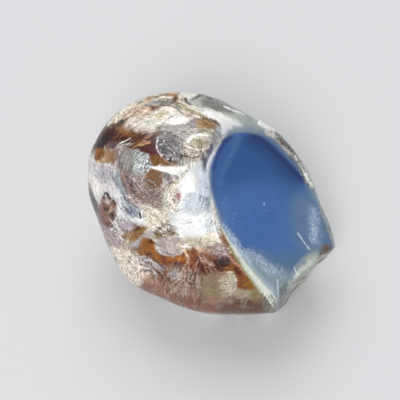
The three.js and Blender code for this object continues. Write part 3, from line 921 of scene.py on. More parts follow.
def paint_amber_foot(paint):
    """Olive, amber and orange at the lower left, with the lilac oval."""
    paint.patch((228, 217, 201), [
        (-28.6, -12), (-25.4, -12.2), (-23.6, -12.8), (-22, -13.6), (-20.4, -14.4), (-19.6, -16),
        (-20.2, -18), (-18.6, -20), (-18, -22.6), (-22, -23), (-25.6, -20), (-28, -16),
    ], grain=0.9, soot=0.15)
    paint.patch((148, 116, 80), [
        (-25, -9.4), (-24.6, -8.2), (-22.6, -7), (-21.4, -6), (-20, -5.8), (-18.4, -6.4), (-18.6, -7.4),
        (-20, -9), (-21, -10.4), (-22.6, -11.4), (-23.6, -10.8),
    ], grain=0.8)
    paint.spot((152, 116, 74), (-22.5, -8.5), (1.2, 0.9), soft=0.6)
    paint.spot((92, 58, 36), (-21, -6.5), (0.9, 0.5))
    paint.spot((226, 210, 176), (-23.7, -10.1), (0.35, 0.5))
    paint.patch((176, 170, 172), [
        (-23, -11.4), (-20.6, -9.6), (-18.6, -7.6), (-17, -7.2), (-16.3, -8), (-18.2, -9.5), (-19.8, -10.6),
        (-20.8, -11.8), (-22.4, -12.2),
    ], grain=0.5)
    paint.patch((148, 98, 50), [
        (-19.5, -9.3), (-17.8, -9.5), (-16.4, -10.3), (-16, -11.8), (-15.2, -13), (-13.8, -13.8),
        (-13.4, -14.8), (-15.2, -15.2), (-17, -14.4), (-18.4, -15.4), (-20.2, -15.6), (-20.8, -13.6),
        (-20, -11.6),
    ], grain=0.5)
    paint.spot((98, 60, 25), (-17.2, -10.2), (0.8, 0.5), -20)
    paint.spot((94, 58, 26), (-17.8, -14), (1.0, 0.45), -15)
    paint.spot((118, 58, 36), (-19.6, -15.3), (1.0, 0.5), -20)
    paint.patch((150, 136, 120), [
        (-16.6, -8), (-15, -6), (-12.6, -5.1), (-11, -6.2), (-9.4, -7.9), (-10.8, -8.8), (-13, -9.6),
        (-15.6, -9.8),
    ], grain=1.0, frost=0.12, soot=0.3)
    paint.spot((128, 112, 82), (-15, -8.7), (1.4, 0.8), soft=0.8)
    paint.patch((176, 164, 160), [
        (-16, -10), (-13.6, -9.4), (-11, -8.8), (-9, -9.3), (-7.6, -10.6), (-8.5, -12), (-9, -13.4),
        (-11, -14.2), (-13.2, -14.2), (-15, -12.8),
    ], grain=0.7, soot=0.1)
    paint.stroke(CHALK, [(-15.8, -11.4), (-14.6, -13), (-13, -14.2)], 0.3)
    paint.patch((124, 74, 32), [
        (-14, -14.3), (-12, -14.6), (-9.4, -14.4), (-8, -13.4), (-6.6, -12.6), (-4, -12.6), (-2.6, -13.4),
        (-1.4, -15), (-1.4, -17.6), (-2.8, -18.4), (-5, -18.4), (-7.6, -18), (-9, -16.8), (-11, -16.4),
        (-12.8, -17.6), (-13.8, -16.8),
    ], grain=0.6)
    paint.spot((170, 108, 36), (-9.6, -15.3), (2.6, 0.6), 2, soft=0.6)
    paint.spot((132, 80, 50), (-5.2, -14.8), (1.6, 1.5), soft=0.9)
    paint.spot((60, 34, 50), (-9.9, -16.8), (1.1, 0.6), 5)
    paint.stroke((238, 208, 168), [(-9.6, -10.8), (-8.2, -12.6), (-6.7, -14.8)], 0.35, 0.5)
    paint.spot((112, 102, 132), (-14.6, -17.5), (1.4, 0.5), -15, soft=0.5)
    paint.patch((106, 68, 42), [
        (-20.4, -14.6), (-18.6, -15), (-17, -15.6), (-15.6, -17), (-14.4, -18.6), (-14.6, -20.2),
        (-16.6, -19.6), (-18.2, -18.2), (-19.4, -16.4),
    ], soft=0.7, grain=0.7, soot=0.2)
    paint.spot((232, 222, 208), (-21.2, -17.2), (1.6, 2.4), 20, soft=0.8, grain=0.7, share=0.6)


def paint_dark_foot(paint):
    """Red-brown, near black and smoky translucent patches below the white triangle."""
    paint.patch((118, 74, 54), [
        (-14.4, -19), (-12, -17.8), (-9, -17.6), (-6, -18.6), (-3, -18.6), (-3, -22), (-3.4, -25),
        (-4, -28), (-8, -29), (-12, -28.6), (-17, -25.4), (-20, -22), (-17, -20.2),
    ], soft=0.6, grain=0.5, frost=0.08)
    paint.patch((96, 54, 36), [
        (-8.4, -17.4), (-5, -18), (-2.4, -17.8), (0, -19), (-1, -21), (-3.2, -22.4), (-5.4, -22.8),
        (-7, -21.6), (-8.4, -19.6),
    ], soft=1.2, ragged=0.8, grain=0.8)
    paint.spot((166, 162, 160), (-10.6, -19.6), (1.7, 1.2), soft=0.7, grain=0.9)
    paint.spot((184, 150, 132), (-17.6, -21.4), (3.0, 1.4), -35, soft=1.0, share=0.8)
    paint.spot((170, 138, 124), (-8, -24.4), (4.2, 1.8), -10, soft=1.2, share=0.7)
    paint.spot((208, 193, 174), (-4.6, -12.1), (3.2, 0.9), soft=0.6, ragged=0.5, share=0.8, grain=0.7)
    paint.patch((138, 92, 74), [
        (-20, -22.6), (-16, -22.4), (-13, -24.6), (-9, -27), (-4, -27.4), (0, -28), (3, -30), (3, -33),
        (-8, -31.4), (-16, -28.6),
    ], soft=0.8, grain=0.3)
    paint.patch((142, 120, 100), [
        (-4, -19.4), (-1, -19.4), (1.6, -19.2), (3, -21), (3, -24), (3.4, -26), (2, -27.6), (-1, -27.4),
        (-3.6, -26), (-3.8, -22),
    ], soft=0.6, grain=0.3)
    paint.spot((146, 132, 102), (-0.6, -24.4), (2.2, 1.0), soft=0.9)
    paint.spot((158, 122, 98), (-0.2, -26.6), (2.2, 0.9), soft=0.9)
    paint.patch((102, 76, 64), [
        (2.6, -28.4), (6, -27.4), (9, -25.8), (13.6, -27), (15, -30), (15, -33), (4, -32.4), (2, -29.6),
    ], soft=1.2, grain=0.35)
    paint.patch((162, 150, 126), [
        (7, -23.6), (10, -23.6), (12.6, -23.4), (13.4, -25.6), (10.6, -26), (7, -25.8),
    ], soft=0.6, grain=0.3)
    paint.spot((134, 119, 84), (12.1, -25.4), (1.2, 1.6), 20, soft=0.9)
    paint.patch((130, 106, 100), [
        (-1.2, -11.6), (0.6, -10.8), (2, -10.6), (3.6, -10.4), (4.8, -12.6), (5.2, -14.4), (3.6, -15.2),
        (1.6, -14.9), (0, -14.6), (-1.6, -13.6),
    ], grain=0.9, frost=0.08)
    paint.spot((208, 174, 148), (-2.2, -12.6), (1.3, 0.7), soft=0.5)
    paint.patch((86, 50, 36), [
        (-4, -15), (-2, -13.8), (0, -14.6), (2, -14.9), (4.6, -14.8), (6.4, -16.2), (5.6, -17.6),
        (3.6, -18.2), (1.8, -19.1), (-1, -19.3), (-2.6, -18.8), (-3.8, -17.4),
    ], soft=0.9, ragged=0.6, grain=0.7)
    paint.spot((30, 13, 11), (0.3, -18.1), (1.1, 0.8), -20)
    paint.spot((52, 34, 30), (2.6, -15.9), (1.6, 0.9), soft=0.8)
    paint.spot((56, 32, 26), (4.9, -16), (0.8, 0.8), soft=0.6)
    paint.patch((128, 82, 42), [
        (5, -15.4), (6.4, -15.6), (8, -17.6), (9.8, -19.6), (11.4, -21.6), (13, -23.4), (10, -23.6),
        (8, -23.5), (7, -22), (6.6, -20), (5.8, -18.4), (5, -17),
    ], grain=0.4)
    paint.spot((148, 102, 38), (10.4, -22), (1.4, 0.9), -40, soft=0.6)
    paint.spot((92, 50, 32), (7.3, -18.3), (0.9, 1.2), 40, soft=0.5)
    paint.stroke((182, 134, 118), [(4.7, -14.6), (7, -16.8), (9.6, -19.6)], 0.3)
    paint.patch((192, 182, 160), [
        (2, -20.6), (3.4, -19.6), (5.2, -18.9), (6.5, -20.4), (6.9, -22.6), (6.5, -24.4), (5, -25.4),
        (3.2, -25.2), (2.2, -23.6),
    ], soft=0.9, ragged=0.7, share=0.85, grain=0.5, soot=0.25)
    paint.spot((192, 186, 164), (5.4, -21.2), (0.7, 1.5), -10, soft=0.4)
    paint.stroke((228, 220, 196), [(4.6, -18.9), (5.8, -19.2), (6.6, -20.9), (6.8, -22.6)], 0.35, 0.2)
    paint.stroke((214, 204, 180), [(6.6, -23.4), (5.8, -24.8), (4.4, -25.3)], 0.25)
    paint.stroke((220, 210, 186), [(4.0, -21.2), (4.2, -22.8), (5.2, -23.6)], 0.3)
    paint.beds_of_scratches(
        ((206, 188, 176), (-6, -18), (-8, -27), 16, 5.0, 0.9, 0.18, 0.6, 81),
        ((92, 60, 54), (-6, -18), (-7, -27), 18, 5.0, 0.7, 0.25, 0.5, 82),
        ((216, 211, 209), (-21, -15.4), (-14, -19.6), 26, 2.6, 1.1, 0.24, 0.8, 83),
        ((94, 66, 56), (-20, -15.4), (-13, -20.4), 14, 2.8, 0.7, 0.3, 0.7, 84),
        ((184, 146, 126), (-3, -13.4), (1.4, -19.4), 12, 2.2, 0.4, 0.14, 0.5, 85),
        ((190, 138, 118), (4.4, -14.4), (9.8, -19.8), 6, 0.8, 0.3, 0.2, 0.8, 86),
        ((164, 146, 130), (9.6, -24), (9.6, -30), 10, 3.4, 0.3, 0.25, 0.5, 87),
        ((190, 152, 140), (-14, -21), (-16, -25.4), 10, 3.4, 0.6, 0.2, 0.6, 88),
        ((220, 196, 178), (-5.6, -14.5), (-10, -26.5), 18, 4.6, 0.1, 0.16, 0.6, 91),
        ((212, 172, 148), (-3.4, -13.4), (1.6, -19.6), 10, 2.6, 0.08, 0.15, 0.6, 92),
        ((206, 178, 160), (-11, -19), (-14, -26), 9, 3.0, 0.12, 0.16, 0.5, 93),
    )
    for route in (
        [(-6.7, -16.2), (-6.6, -20), (-7, -23.6)],
        [(-13.2, -22), (-13.4, -24.4), (-12.6, -26.6)],
        [(-8.8, -20), (-8.4, -23), (-8, -25), (-9.6, -27.6)],
        [(-11, -22), (-11.6, -25), (-10.4, -27)],
        [(-4, -20), (-3, -22.6), (-2.4, -23.4)],
        [(-5.6, -20), (-4.2, -21.4)],
        [(-3.6, -13.4), (-1.6, -15.6), (0.2, -17.6), (1.6, -19.4)],
        [(-2.2, -16.4), (-0.8, -17.8), (0.2, -19.4)],
    ):
        paint.stroke((196, 172, 156), route, 0.2, share=0.6)


def paint_specks(paint):
    """The pale and dark dots that pepper the rind."""
    pale, dark = (236, 234, 228), (92, 86, 82)
    for colour, at, size, turn, count in (
        ((84, 90, 92), (-19.8, 11.8), (2.2, 2.8), 0, 34),
        ((220, 224, 222), (-19.8, 11.8), (2.4, 3.0), 0, 34),
        ((122, 130, 140), (-4.6, 0.2), (3.8, 2.9), 0, 190),
        ((150, 156, 160), (-4.4, -4.6), (4.4, 2.4), 0, 50),
        ((168, 176, 182), (-2.4, 6), (1.3, 4), -10, 24),
        ((108, 104, 92), (-11.4, 3), (2.2, 6), 25, 70),
        ((148, 128, 110), (-15.4, -3), (4.2, 2.8), 0, 90),
        ((158, 140, 124), (-11.8, 3.4), (1.8, 6), 25, 60),
        (dark, (-12.6, -7.2), (3.6, 2.2), -20, 60),
        (pale, (-12.6, -7.2), (3.6, 2.2), -20, 44),
        ((120, 108, 108), (-12, -11.6), (4, 2.4), 0, 44),
        ((206, 196, 192), (-12, -11.6), (4, 2.4), 0, 90),
        ((202, 192, 186), (-18.4, 3.2), (5, 4), -20, 90),
        ((84, 68, 66), (-18.4, 3.6), (5, 4), -20, 90),
        ((74, 74, 76), (-11, 16.6), (4, 3.8), 0, 80),
        ((186, 186, 188), (-11, 16.6), (4.4, 4), 0, 44),
        (dark, (-3.4, 14.4), (5.4, 1.6), 0, 60),
        (dark, (1, 18.6), (1.3, 3.4), 0, 36),
        (pale, (-3.4, 14.4), (5.4, 1.6), 0, 40),
        ((126, 112, 100), (-20, 24.4), (4, 2.2), 20, 44),
        ((110, 98, 90), (-22, 26.6), (5, 1.4), 30, 50),
        ((110, 94, 84), (-24.4, -15.6), (3.2, 4.6), 30, 60),
        (pale, (-19, -17), (3.6, 2.4), -35, 46),
        ((84, 60, 50), (-19, -17), (3.6, 2.4), -35, 50),
        ((104, 110, 122), (-23.4, -0.6), (2.2, 2.6), 30, 60),
        ((226, 228, 230), (-23.8, 0.2), (2.6, 3.4), 30, 40),
        ((72, 52, 48), (-26, -7.4), (2.4, 4.6), 10, 40),
        (pale, (-25.4, -7), (2.6, 5), 10, 50),
        ((206, 196, 184), (-8.6, -21.6), (5.6, 3.4), 0, 70),
        ((86, 56, 48), (-7.6, -21.4), (5.4, 3.4), 0, 60),
        ((216, 206, 200), (2.4, -13.2), (2.2, 1.8), 0, 34),
        ((96, 76, 70), (2.4, -13), (2.4, 2), 0, 34),
        ((146, 138, 112), (-2.6, -9.8), (4, 1.4), 0, 40),
        ((124, 116, 96), (4.4, -22.4), (2.4, 3.2), 0, 34),
        ((120, 112, 106), (-30, 9), (3, 5), 30, 40),
        ((90, 84, 80), (-12, 29.2), (4.4, 0.9), 5, 36),
        ((168, 164, 156), (-9, 21.4), (4.6, 1.2), 10, 44),
    ):
        paint.speckles(colour, at, size, count, turn=turn, seed=count + int(10 * abs(at[0])))


def paint_window(paint):
    """The ground window: navy under its upper rim, partly its own deep blue and partly painted shade, deep
    blue in the middle, paler and greyer at its edges.
    """
    paint.seen = paint.plain
    paint.fray = paint.powder
    outline = [
        (3.6, 18.9), (2, 16.6), (0.9, 14.4), (0, 12.1), (-0.6, 9.9), (-0.9, 7.6), (-0.4, 4.8), (0.5, 1.1),
        (1.6, -2.5), (2.9, -6.4), (6, -11.3), (9.8, -17.2), (13.2, -22.5), (18.8, -29.6), (20.2, -26.6),
        (24, -21), (30, -14.4), (34.6, -12), (33.2, -8), (30.6, 0), (28.4, 5.4), (24.4, 9.9), (20.8, 14),
        (17.4, 18), (12.6, 19.9), (8.7, 20.5), (5.6, 20.1),
    ]
    clear = dict(ragged=0.0, grain=0.07, frost=0.0, soot=0.0, window=1.0)
    paint.patch((72, 108, 162), outline, soft=0.4, relief=0.0, **clear)
    paint.patch((40, 80, 138), [
        (1, 14), (3.4, 19), (9, 21), (14, 20), (20, 14), (26, 8), (22, 4), (14, 5), (6, 4), (0, 4), (-1, 8),
    ], soft=6.0, share=0.95, **clear)
    paint.patch((64, 103, 165), [
        (8, 4), (16, 5), (20, -1), (18, -10), (12, -13), (6, -5),
    ], soft=4.0, **clear)
    paint.patch((98, 122, 150), [
        (23, 1), (27, 3), (30, 1), (33, -7), (32, -12), (26, -13.4), (23.4, -9),
    ], soft=2.6, share=0.85, **clear)
    paint.patch((88, 112, 142), [
        (10, -12.6), (15, -14), (20, -14.5), (27, -14), (22, -20), (18.6, -26), (14.6, -21), (8, -14),
    ], soft=2.6, share=0.9, **clear)
    paint.patch((136, 149, 157), [
        (9.4, -13.8), (13, -16), (17, -18.6), (21, -18.8), (23, -20), (20, -25), (18.6, -29), (15, -25),
        (11, -19),
    ], soft=1.8, share=0.95, **clear)
    paint.stroke((108, 123, 142), [
        (1.8, -2.4), (3.4, -6.4), (6.4, -11), (10, -16.6), (14.4, -22.6),
    ], 1.2, 2.8, soft=1.3, share=0.85, **clear)
    # The stone's deep blue with painted shade: the navy band and darkest line under the window's upper right
    # rim.
    paint.patch((26, 50, 106), [
        (10, 20), (14.4, 19.4), (18.4, 16.2), (22, 12.4), (25.6, 8.6), (26, 6), (22.4, 7), (18, 11),
        (14, 14.6), (9, 17.6),
    ], soft=2.2, share=0.75, **clear)
    paint.stroke((17, 34, 84), [
        (11.4, 19.6), (14.2, 18.2), (17, 15.8), (20.4, 12.4), (23.4, 9.2), (25.6, 7),
    ], 0.8, 0.9, soft=1.0, share=0.85, **clear)
    paint.stroke((92, 114, 140), [
        (14.6, 20), (17.6, 17.6), (20.6, 14.6), (23.4, 11.4), (26, 8.4),
    ], 1.3, 0.8, soft=0.5, **clear)
    paint.stroke((120, 140, 158), [
        (26.4, 7.6), (27.6, 5), (29, 2.4),
    ], 1.2, 1.8, soft=0.8, share=0.8, **clear)
    paint.stroke((40, 54, 108), [
        (5, 19.2), (3.6, 17.6), (2, 14.8), (1, 12), (0.4, 9.6),
    ], 1.4, 0.5, soft=0.8, **clear)
    paint.stroke((74, 108, 154), [
        (7.4, 18.8), (6.6, 17), (5, 13.4), (3.4, 10), (2.2, 6),
    ], 1.5, 0.8, soft=1.3, share=0.65, **clear)
    paint.stroke((66, 84, 104), [
        (0.4, 9), (0.7, 5), (1.9, 0.6), (3, -3),
    ], 0.7, soft=0.8, share=0.5, **clear)
    paint.stroke((134, 146, 158), [
        (-0.6, 9.6), (-0.5, 5), (0.7, 0.6), (1.8, -3), (2.8, -6),
    ], 0.6, 0.4, soft=0.5, share=0.9, **clear)
    paint.stroke((126, 142, 156), [
        (3.8, 19.6), (6, 20.7), (9, 21), (13, 20.5), (16.4, 19.4),
    ], 0.8, soft=0.9, share=0.8, **clear)
    paint.stroke((172, 187, 196), [
        (6.6, -11.4), (9.6, -15.6), (12.4, -19), (15.2, -22.2), (17, -24.4),
    ], 0.7, 1.9, soft=0.8, share=0.7, **clear)
    paint.patch((136, 156, 178), [
        (10, -13), (13.4, -13.6), (16, -16), (19, -18), (18.6, -20.2), (15, -19.2), (12, -16.4), (9.6, -14),
    ], soft=1.6, ragged=0.5, share=0.6, frost=0.78)
    paint.patch((152, 176, 204), [
        (3, -5.6), (4.4, -6.8), (8, -12), (11.4, -16.6), (10.4, -17), (6, -11.4), (3.8, -7.4),
    ], soft=0.7, ragged=0.4, share=0.7, frost=0.8)
    paint.patch((138, 162, 190), [
        (27.8, -0.4), (29.2, -1), (30.2, -6), (29.8, -11), (28, -10), (27.4, -5),
    ], soft=1.4, ragged=0.5, share=0.7, frost=0.78)
    paint.stroke((98, 115, 136), [(30.4, -1), (31.4, -4), (32.8, -8.6)], 1.2, 2.0, soft=0.8, share=0.8)
    paint.patch((116, 134, 154), [
        (27, -12), (31, -11.4), (33.6, -11), (31, -13.4), (27, -15),
    ], soft=0.8, share=0.8)
    for at, size, turn, count in (
        ((13.6, -15.8), (5.6, 1.5), -38, 150),
        ((7.4, -11), (6.4, 0.8), -56, 120),
        ((28.9, -5.6), (1.3, 5.2), -8, 100),
        ((17.6, -18.6), (3.6, 2.2), -15, 80),
    ):
        paint.speckles((206, 220, 236), at, size, count, turn=turn, dot=0.15, seed=count, share=0.45)
    paint.spot((160, 190, 226), (14.7, 0.3), (0.2, 0.34), soft=0.2, ragged=0)
    for at in ((5.5, 14.1), (6.5, -2.5), (5.9, -3.9), (3.2, 0.4), (8.5, -5.4), (15.2, -1.6)):
        paint.spot((150, 176, 210), at, (0.12, 0.16), soft=0.2, ragged=0, share=0.6)
    paint.stroke((200, 214, 232), [(24.2, -7.9), (25.6, -10), (27.3, -12.2)], 0.34)


def paint_ridge(paint):
    """The chalky ridge where the window meets the rind, the forked lines at its foot and a painted highlight
    on the window's upper left lip.
    """
    dull = dict(grain=0.2, window=0.0)
    paint.stroke((150, 134, 92), [
        (2.4, -7), (4.6, -11), (8.2, -17), (12, -22.4), (14, -24.8),
    ], 0.7, 1.1, **dull)
    paint.stroke((206, 212, 198), [
        (3, -7), (5, -10.4), (7.6, -14.6), (11.2, -19.6), (14.6, -23.8), (17, -26.6),
    ], 0.3, 2.6, soft=0.5, ragged=0.12, frost=0.2, **dull)
    paint.stroke((222, 226, 216), [
        (6, -11.6), (9.4, -16.8), (13, -21.4), (16, -24.8),
    ], 0.5, 1.1, soft=0.4, **dull)
    paint.patch((120, 114, 98), [
        (14, -25), (16.2, -26.2), (18, -29.8), (17.8, -31.4), (15.4, -31.4), (14.6, -28.4),
    ], grain=1.0, frost=0.25, soot=0.3, window=0.0)
    paint.patch((128, 134, 126), [
        (16.2, -24.2), (18.2, -26), (18.7, -28.6), (17.4, -27.4),
    ], soft=0.3, grain=0.4, window=0.0)
    paint.stroke((206, 210, 202), [(14.2, -24.4), (16.2, -27), (18.2, -29.8)], 0.5, 0.25)
    paint.stroke((196, 206, 208), [(18.5, -21.2), (18.6, -24), (18.9, -27.4)], 0.4)
    paint.stroke((203, 212, 208), [(16.6, -24.4), (18, -26.6), (18.7, -28.8)], 0.5)
    paint.stroke((188, 186, 182), [
        (0.6, 14.4), (1.6, 16.6), (2.5, 18.4), (3.6, 19.6),
    ], 0.6, soft=0.25, share=0.8)
    # Painted highlight: a whitish line where the window's upper left lip catches the light.
    paint.stroke((206, 210, 218), [
        (0.4, 14.2), (-0.7, 12.4), (-1.2, 10.4), (-1.2, 8), (-0.9, 5.6),
    ], 0.7, 0.3, soft=0.3)
    paint.stroke((150, 154, 170), [(0.8, 14.4), (-0.1, 12.4), (-0.7, 10.4)], 0.35)
    paint.stroke(WHITE, [(0.2, -3.2), (0.5, -5.4), (0.9, -7.2)], 0.35)
    paint.patch((128, 92, 68), [
        (1.5, -7), (2.6, -8), (4.6, -11.2), (3, -10.8), (1.8, -9),
    ], soft=0.25, grain=0.5)


def paint_chip_face(paint):
    """The flaked corner: a pale greenish band with painted highlights along its ridge, a grey foot and a
    brown tip.
    """
    dull = dict(window=0.0)
    paint.patch((148, 152, 143), [
        (31, -15), (28, -18), (25, -22), (22, -24), (20, -28), (18, -31), (22, -30), (27, -25), (33, -17),
    ], soft=0.5, grain=0.4, **dull)
    # The pale greenish band: its own colour, made brighter by a painted highlight along the chip's ridge.
    paint.patch((178, 184, 176), [
        (30, -13.4), (27.6, -14.2), (25.6, -16.6), (23.6, -19), (22, -21.4), (20.6, -23.6), (22, -24),
        (24.4, -22), (26.6, -20), (28.6, -17.2), (30.4, -15),
    ], soft=0.4, grain=0.12, **dull)
    paint.patch((124, 130, 128), [
        (20, -22.4), (21.8, -22.8), (20.8, -25.4), (19.6, -28.6), (18.7, -28.6), (19, -25),
    ], soft=0.5, grain=0.3, **dull)
    # Painted highlight: a white glint on the chip's ridge.
    paint.spot((230, 236, 232), (24.2, -19.4), (0.9, 0.5), 50)
    paint.stroke((156, 166, 164), [
        (29.6, -13.4), (26.4, -14.8), (24.2, -17.2), (22.6, -20),
    ], 0.9, soft=0.6, share=0.8)
    # Painted highlight: a pale glint along the chip's ridge.
    paint.spot((214, 220, 210), (27.2, -17), (2.0, 0.6), 42, soft=0.5)
    paint.stroke((146, 140, 104), [(22.6, -22.6), (24.2, -21.4), (26, -20.2)], 0.5)
    paint.stroke((176, 150, 146), [(23.2, -22.2), (24.8, -20.9)], 0.25)
    # Painted highlights: white glints along the chip's ridge.
    paint.stroke((228, 234, 230), [(22.8, -21), (23.8, -19.6), (23.2, -17.6)], 0.3)
    paint.stroke((206, 212, 206), [(21, -23.4), (22.4, -23), (24, -22)], 0.35)
    paint.patch((116, 107, 100), [
        (30.2, -13), (31.4, -11.6), (33, -11), (34.2, -12.2), (33.6, -13.8), (31.4, -14.8), (30.2, -14.6),
    ], soft=0.4, grain=0.8, soot=0.2, **dull)
    paint.spot((108, 90, 82), (32.2, -12.2), (0.9, 0.6), 35, share=0.7)
    paint.stroke((168, 172, 168), [
        (33.6, -8.8), (34.3, -10.8), (34.4, -12.6), (33.4, -14), (30.6, -14.4),
    ], 0.45)
    paint.stroke((60, 54, 50), [(30, -16), (32, -15.1), (34, -13.8)], 0.5)
    paint.stroke((152, 160, 161), [
        (28.4, 5.6), (29.6, 2.4), (31.2, -2.2), (33, -6.8), (34, -10),
    ], 0.8, 0.9, soft=0.3)


def paint_ledge(paint):
    """The thin rim of rind that still stands above the window's upper right edge, with a painted highlight at
    its upper end.
    """
    dull = dict(window=0.0)
    paint.patch((120, 122, 124), [
        (16.6, 20.8), (18.4, 20.6), (22, 17), (25.6, 12), (24.8, 11), (22, 13.9), (19.6, 16.8),
        (17.4, 18.9),
    ], soft=0.35, grain=0.6, relief=0.3, **dull)
    paint.patch((122, 108, 98), [
        (19, 18.4), (21, 16.6), (23, 14.4), (22.2, 13.8), (20.4, 16), (18.6, 17.9),
    ], soft=0.4, grain=1.0, soot=0.3, **dull)
    # Painted highlight: the white glint on the raised upper end of the ledge.
    paint.patch(WHITE, [
        (12.9, 23.4), (13.6, 24.4), (16.4, 22.4), (17.8, 20.8), (16.4, 20), (15, 21.2), (13.4, 22.4),
    ], soft=0.2, ragged=0.1, grain=0.15, relief=0.45)
    paint.patch((186, 182, 178), [
        (15.2, 21.2), (17, 20.5), (18.4, 19.2), (17.4, 18.9), (15, 19.9),
    ], soft=0.4, ragged=0.2, grain=0.6, soot=0.3)
    paint.stroke((206, 206, 204), [(17.6, 21), (20.3, 18.6), (23, 15.4), (25.6, 11.4), (28.6, 6.6)], 0.3)
    for at in ((22.3, 14.4), (23.1, 13.5), (23.7, 12.6), (24.6, 11.6), (21.6, 15)):
        paint.spot((216, 214, 210), at, (0.3, 0.25))
    paint.patch((196, 198, 192), [
        (25, 11), (26.4, 10), (28.2, 6.6), (28.6, 5), (27.6, 5), (26.2, 7), (25.2, 9),
    ], soft=0.3, grain=0.6, frost=0.2, relief=0.25, **dull)
    paint.stroke((106, 96, 90), [(24.6, 10.6), (25.4, 8.6), (26.6, 6.2), (27.6, 4.6)], 0.4, 0.3, grain=0.6)
    paint.stroke((226, 228, 224), [(25.5, 9.4), (26.9, 7.2), (28.3, 5.2)], 0.4)


class Links:
    """A material's nodes. Any node comes from node(), and its sockets are Shade values."""

    def __init__(self, material):
        material.use_nodes = True
        self.tree = material.node_tree
        self.tree.nodes.clear()

    def node(self, kind, settings=None, out=0, **values):
        """A node of this kind with its settings made first, then its sockets' values or links."""
        made = self.tree.nodes.new("ShaderNode" + kind)
        for name, value in (settings or {}).items():
            setattr(made, name, value)
        for name, value in values.items():
            self.feed(made, name, value)
        return Shade(self, made.outputs[out]) if made.outputs else None

    def feed(self, made, name, value):
        """Sets or links a socket that is named in lower case, or numbered after an underscore."""
        plain = name.replace("_", " ").strip()
        socket = made.inputs[int(plain)] if plain.isdigit() else self.named(made, plain)
        if isinstance(value, Shade):
            self.tree.links.new(value.socket, socket)
        else:
            socket.default_value = value

    def named(self, made, name):
        return next(socket for socket in made.inputs if socket.name.lower() == name)

    def layer(self, name, out=2):
        """A layer painted on the skin: its numbers, or its colours with out=0."""
        return self.node("Attribute", {"attribute_name": name}, out=out)

    def blend(self, share, first, second):
        """The first colour where share is 0 and the second where it is 1."""
        settings = {"data_type": "RGBA", "clamp_factor": True}
        return self.node("Mix", settings, out=2, _0=share, _6=first, _7=second)

    def step(self, low, high, x):
        """0 below low and 1 above high, with a smooth rise between them."""
        settings = {"interpolation_type": "SMOOTHSTEP"}
        return self.node("MapRange", settings, _0=x, _1=low, _2=high, _3=0.0, _4=1.0)


class Shade:
    """A socket that carries one number, and that arithmetic works on."""

    def __init__(self, links, socket):
        self.links = links
        self.socket = socket

    def maths(self, operation, first, second):
        """The result of a Math node on two numbers or sockets."""
        return self.links.node("Math", {"operation": operation}, _0=first, _1=second)

    def size(self):
        """The number without its sign."""
        return self.maths("ABSOLUTE", self, 0.0)

    def __add__(self, other):
        return self.maths("ADD", self, other)

    def __sub__(self, other):
        return self.maths("SUBTRACT", self, other)

    def __mul__(self, other):
        return self.maths("MULTIPLY", self, other)

    def __rsub__(self, other):
        return self.maths("SUBTRACT", other, self)

    __radd__ = __add__
    __rmul__ = __mul__


def finish_stone(material):
    """The laid colours with the rind's fine mottling, hairs and specks, and a polish that the rind dulls."""
    links = Links(material)
    fibres = links.layer("fibres")
    place = links.node("VectorMath", {"operation": "SCALE"}, _0=links.node("TexCoord", out=3), _3=1 / MM)
    tint = links.layer("tint", out=0)
    grain = links.layer("grain")
    frost = links.layer("frost")
    soot = links.layer("soot")
    window = links.layer("window")

    stretched = links.node("VectorMath", {"operation": "SCALE"}, _0=place, _3=STRETCH)
    drawn = links.node("VectorMath", {"operation": "MULTIPLY_ADD"}, _0=fibres, _1=ACROSS, _2=stretched)

    def noise(size, detail=2.0, seed=0.0, distortion=0.0, spread=place):
        """Random grey bumps about size mm across."""
        moved = links.node("VectorMath", {"operation": "ADD"}, _0=spread, _1=(seed, 2 * seed, 3 * seed))
        looks = dict(scale=1 / size, detail=detail, roughness=0.6, distortion=distortion)
        return links.node("TexNoise", vector=moved, **looks)

    def specks(layer, bumps, edge):
        """1 on the tops of the bumps, and on more of them where the layer is stronger."""
        return links.step(0.0, edge, layer * SPECK_DROP - (SPECK_LEVEL - bumps))

    fine = noise(0.42, seed=3.0)
    flecks = noise(0.26, detail=1.0, seed=11.0)
    motes = noise(0.4, detail=1.0, seed=23.0)
    patches = noise(2.6, detail=4.0, seed=37.0, distortion=0.8)
    wisps = noise(1.5, detail=3.0, seed=51.0, distortion=0.8, spread=drawn)
    streaks = noise(0.42, detail=3.0, seed=67.0, spread=drawn)

    hair = links.step(*HAIR_EDGE, (wisps - 0.5).size())
    mottling = (fine - 0.5) * 2.6 + (streaks - 0.5) * 3.0 + (patches - 0.5) * 1.6 + hair * 0.7
    lightness = BASE_LIGHTNESS + grain * mottling
    grey = links.node("CombineColor", _0=lightness, _1=lightness, _2=lightness)
    multiply = {"data_type": "RGBA", "blend_type": "MULTIPLY"}
    colour = links.node("Mix", multiply, out=2, _0=1.0, _6=tint, _7=grey)
    colour = links.blend(specks(soot, motes, 0.1) * 0.75, colour, (*linear(SOOT), 1))
    colour = links.blend(specks(frost, flecks, 0.14) * 0.8, colour, (*linear(FROST), 1))

    rind = 1 - window
    roughness = POLISH + rind * (RIND_DULLNESS + (patches - 0.4) * 0.3)
    bump = links.node("Bump", distance=PIT_DEPTH * MM, strength=0.5, height=rind * fine)
    shader = links.node("BsdfPrincipled", base_color=colour, roughness=roughness, normal=bump, ior=QUARTZ_IOR)
    links.node("OutputMaterial", _0=shader)


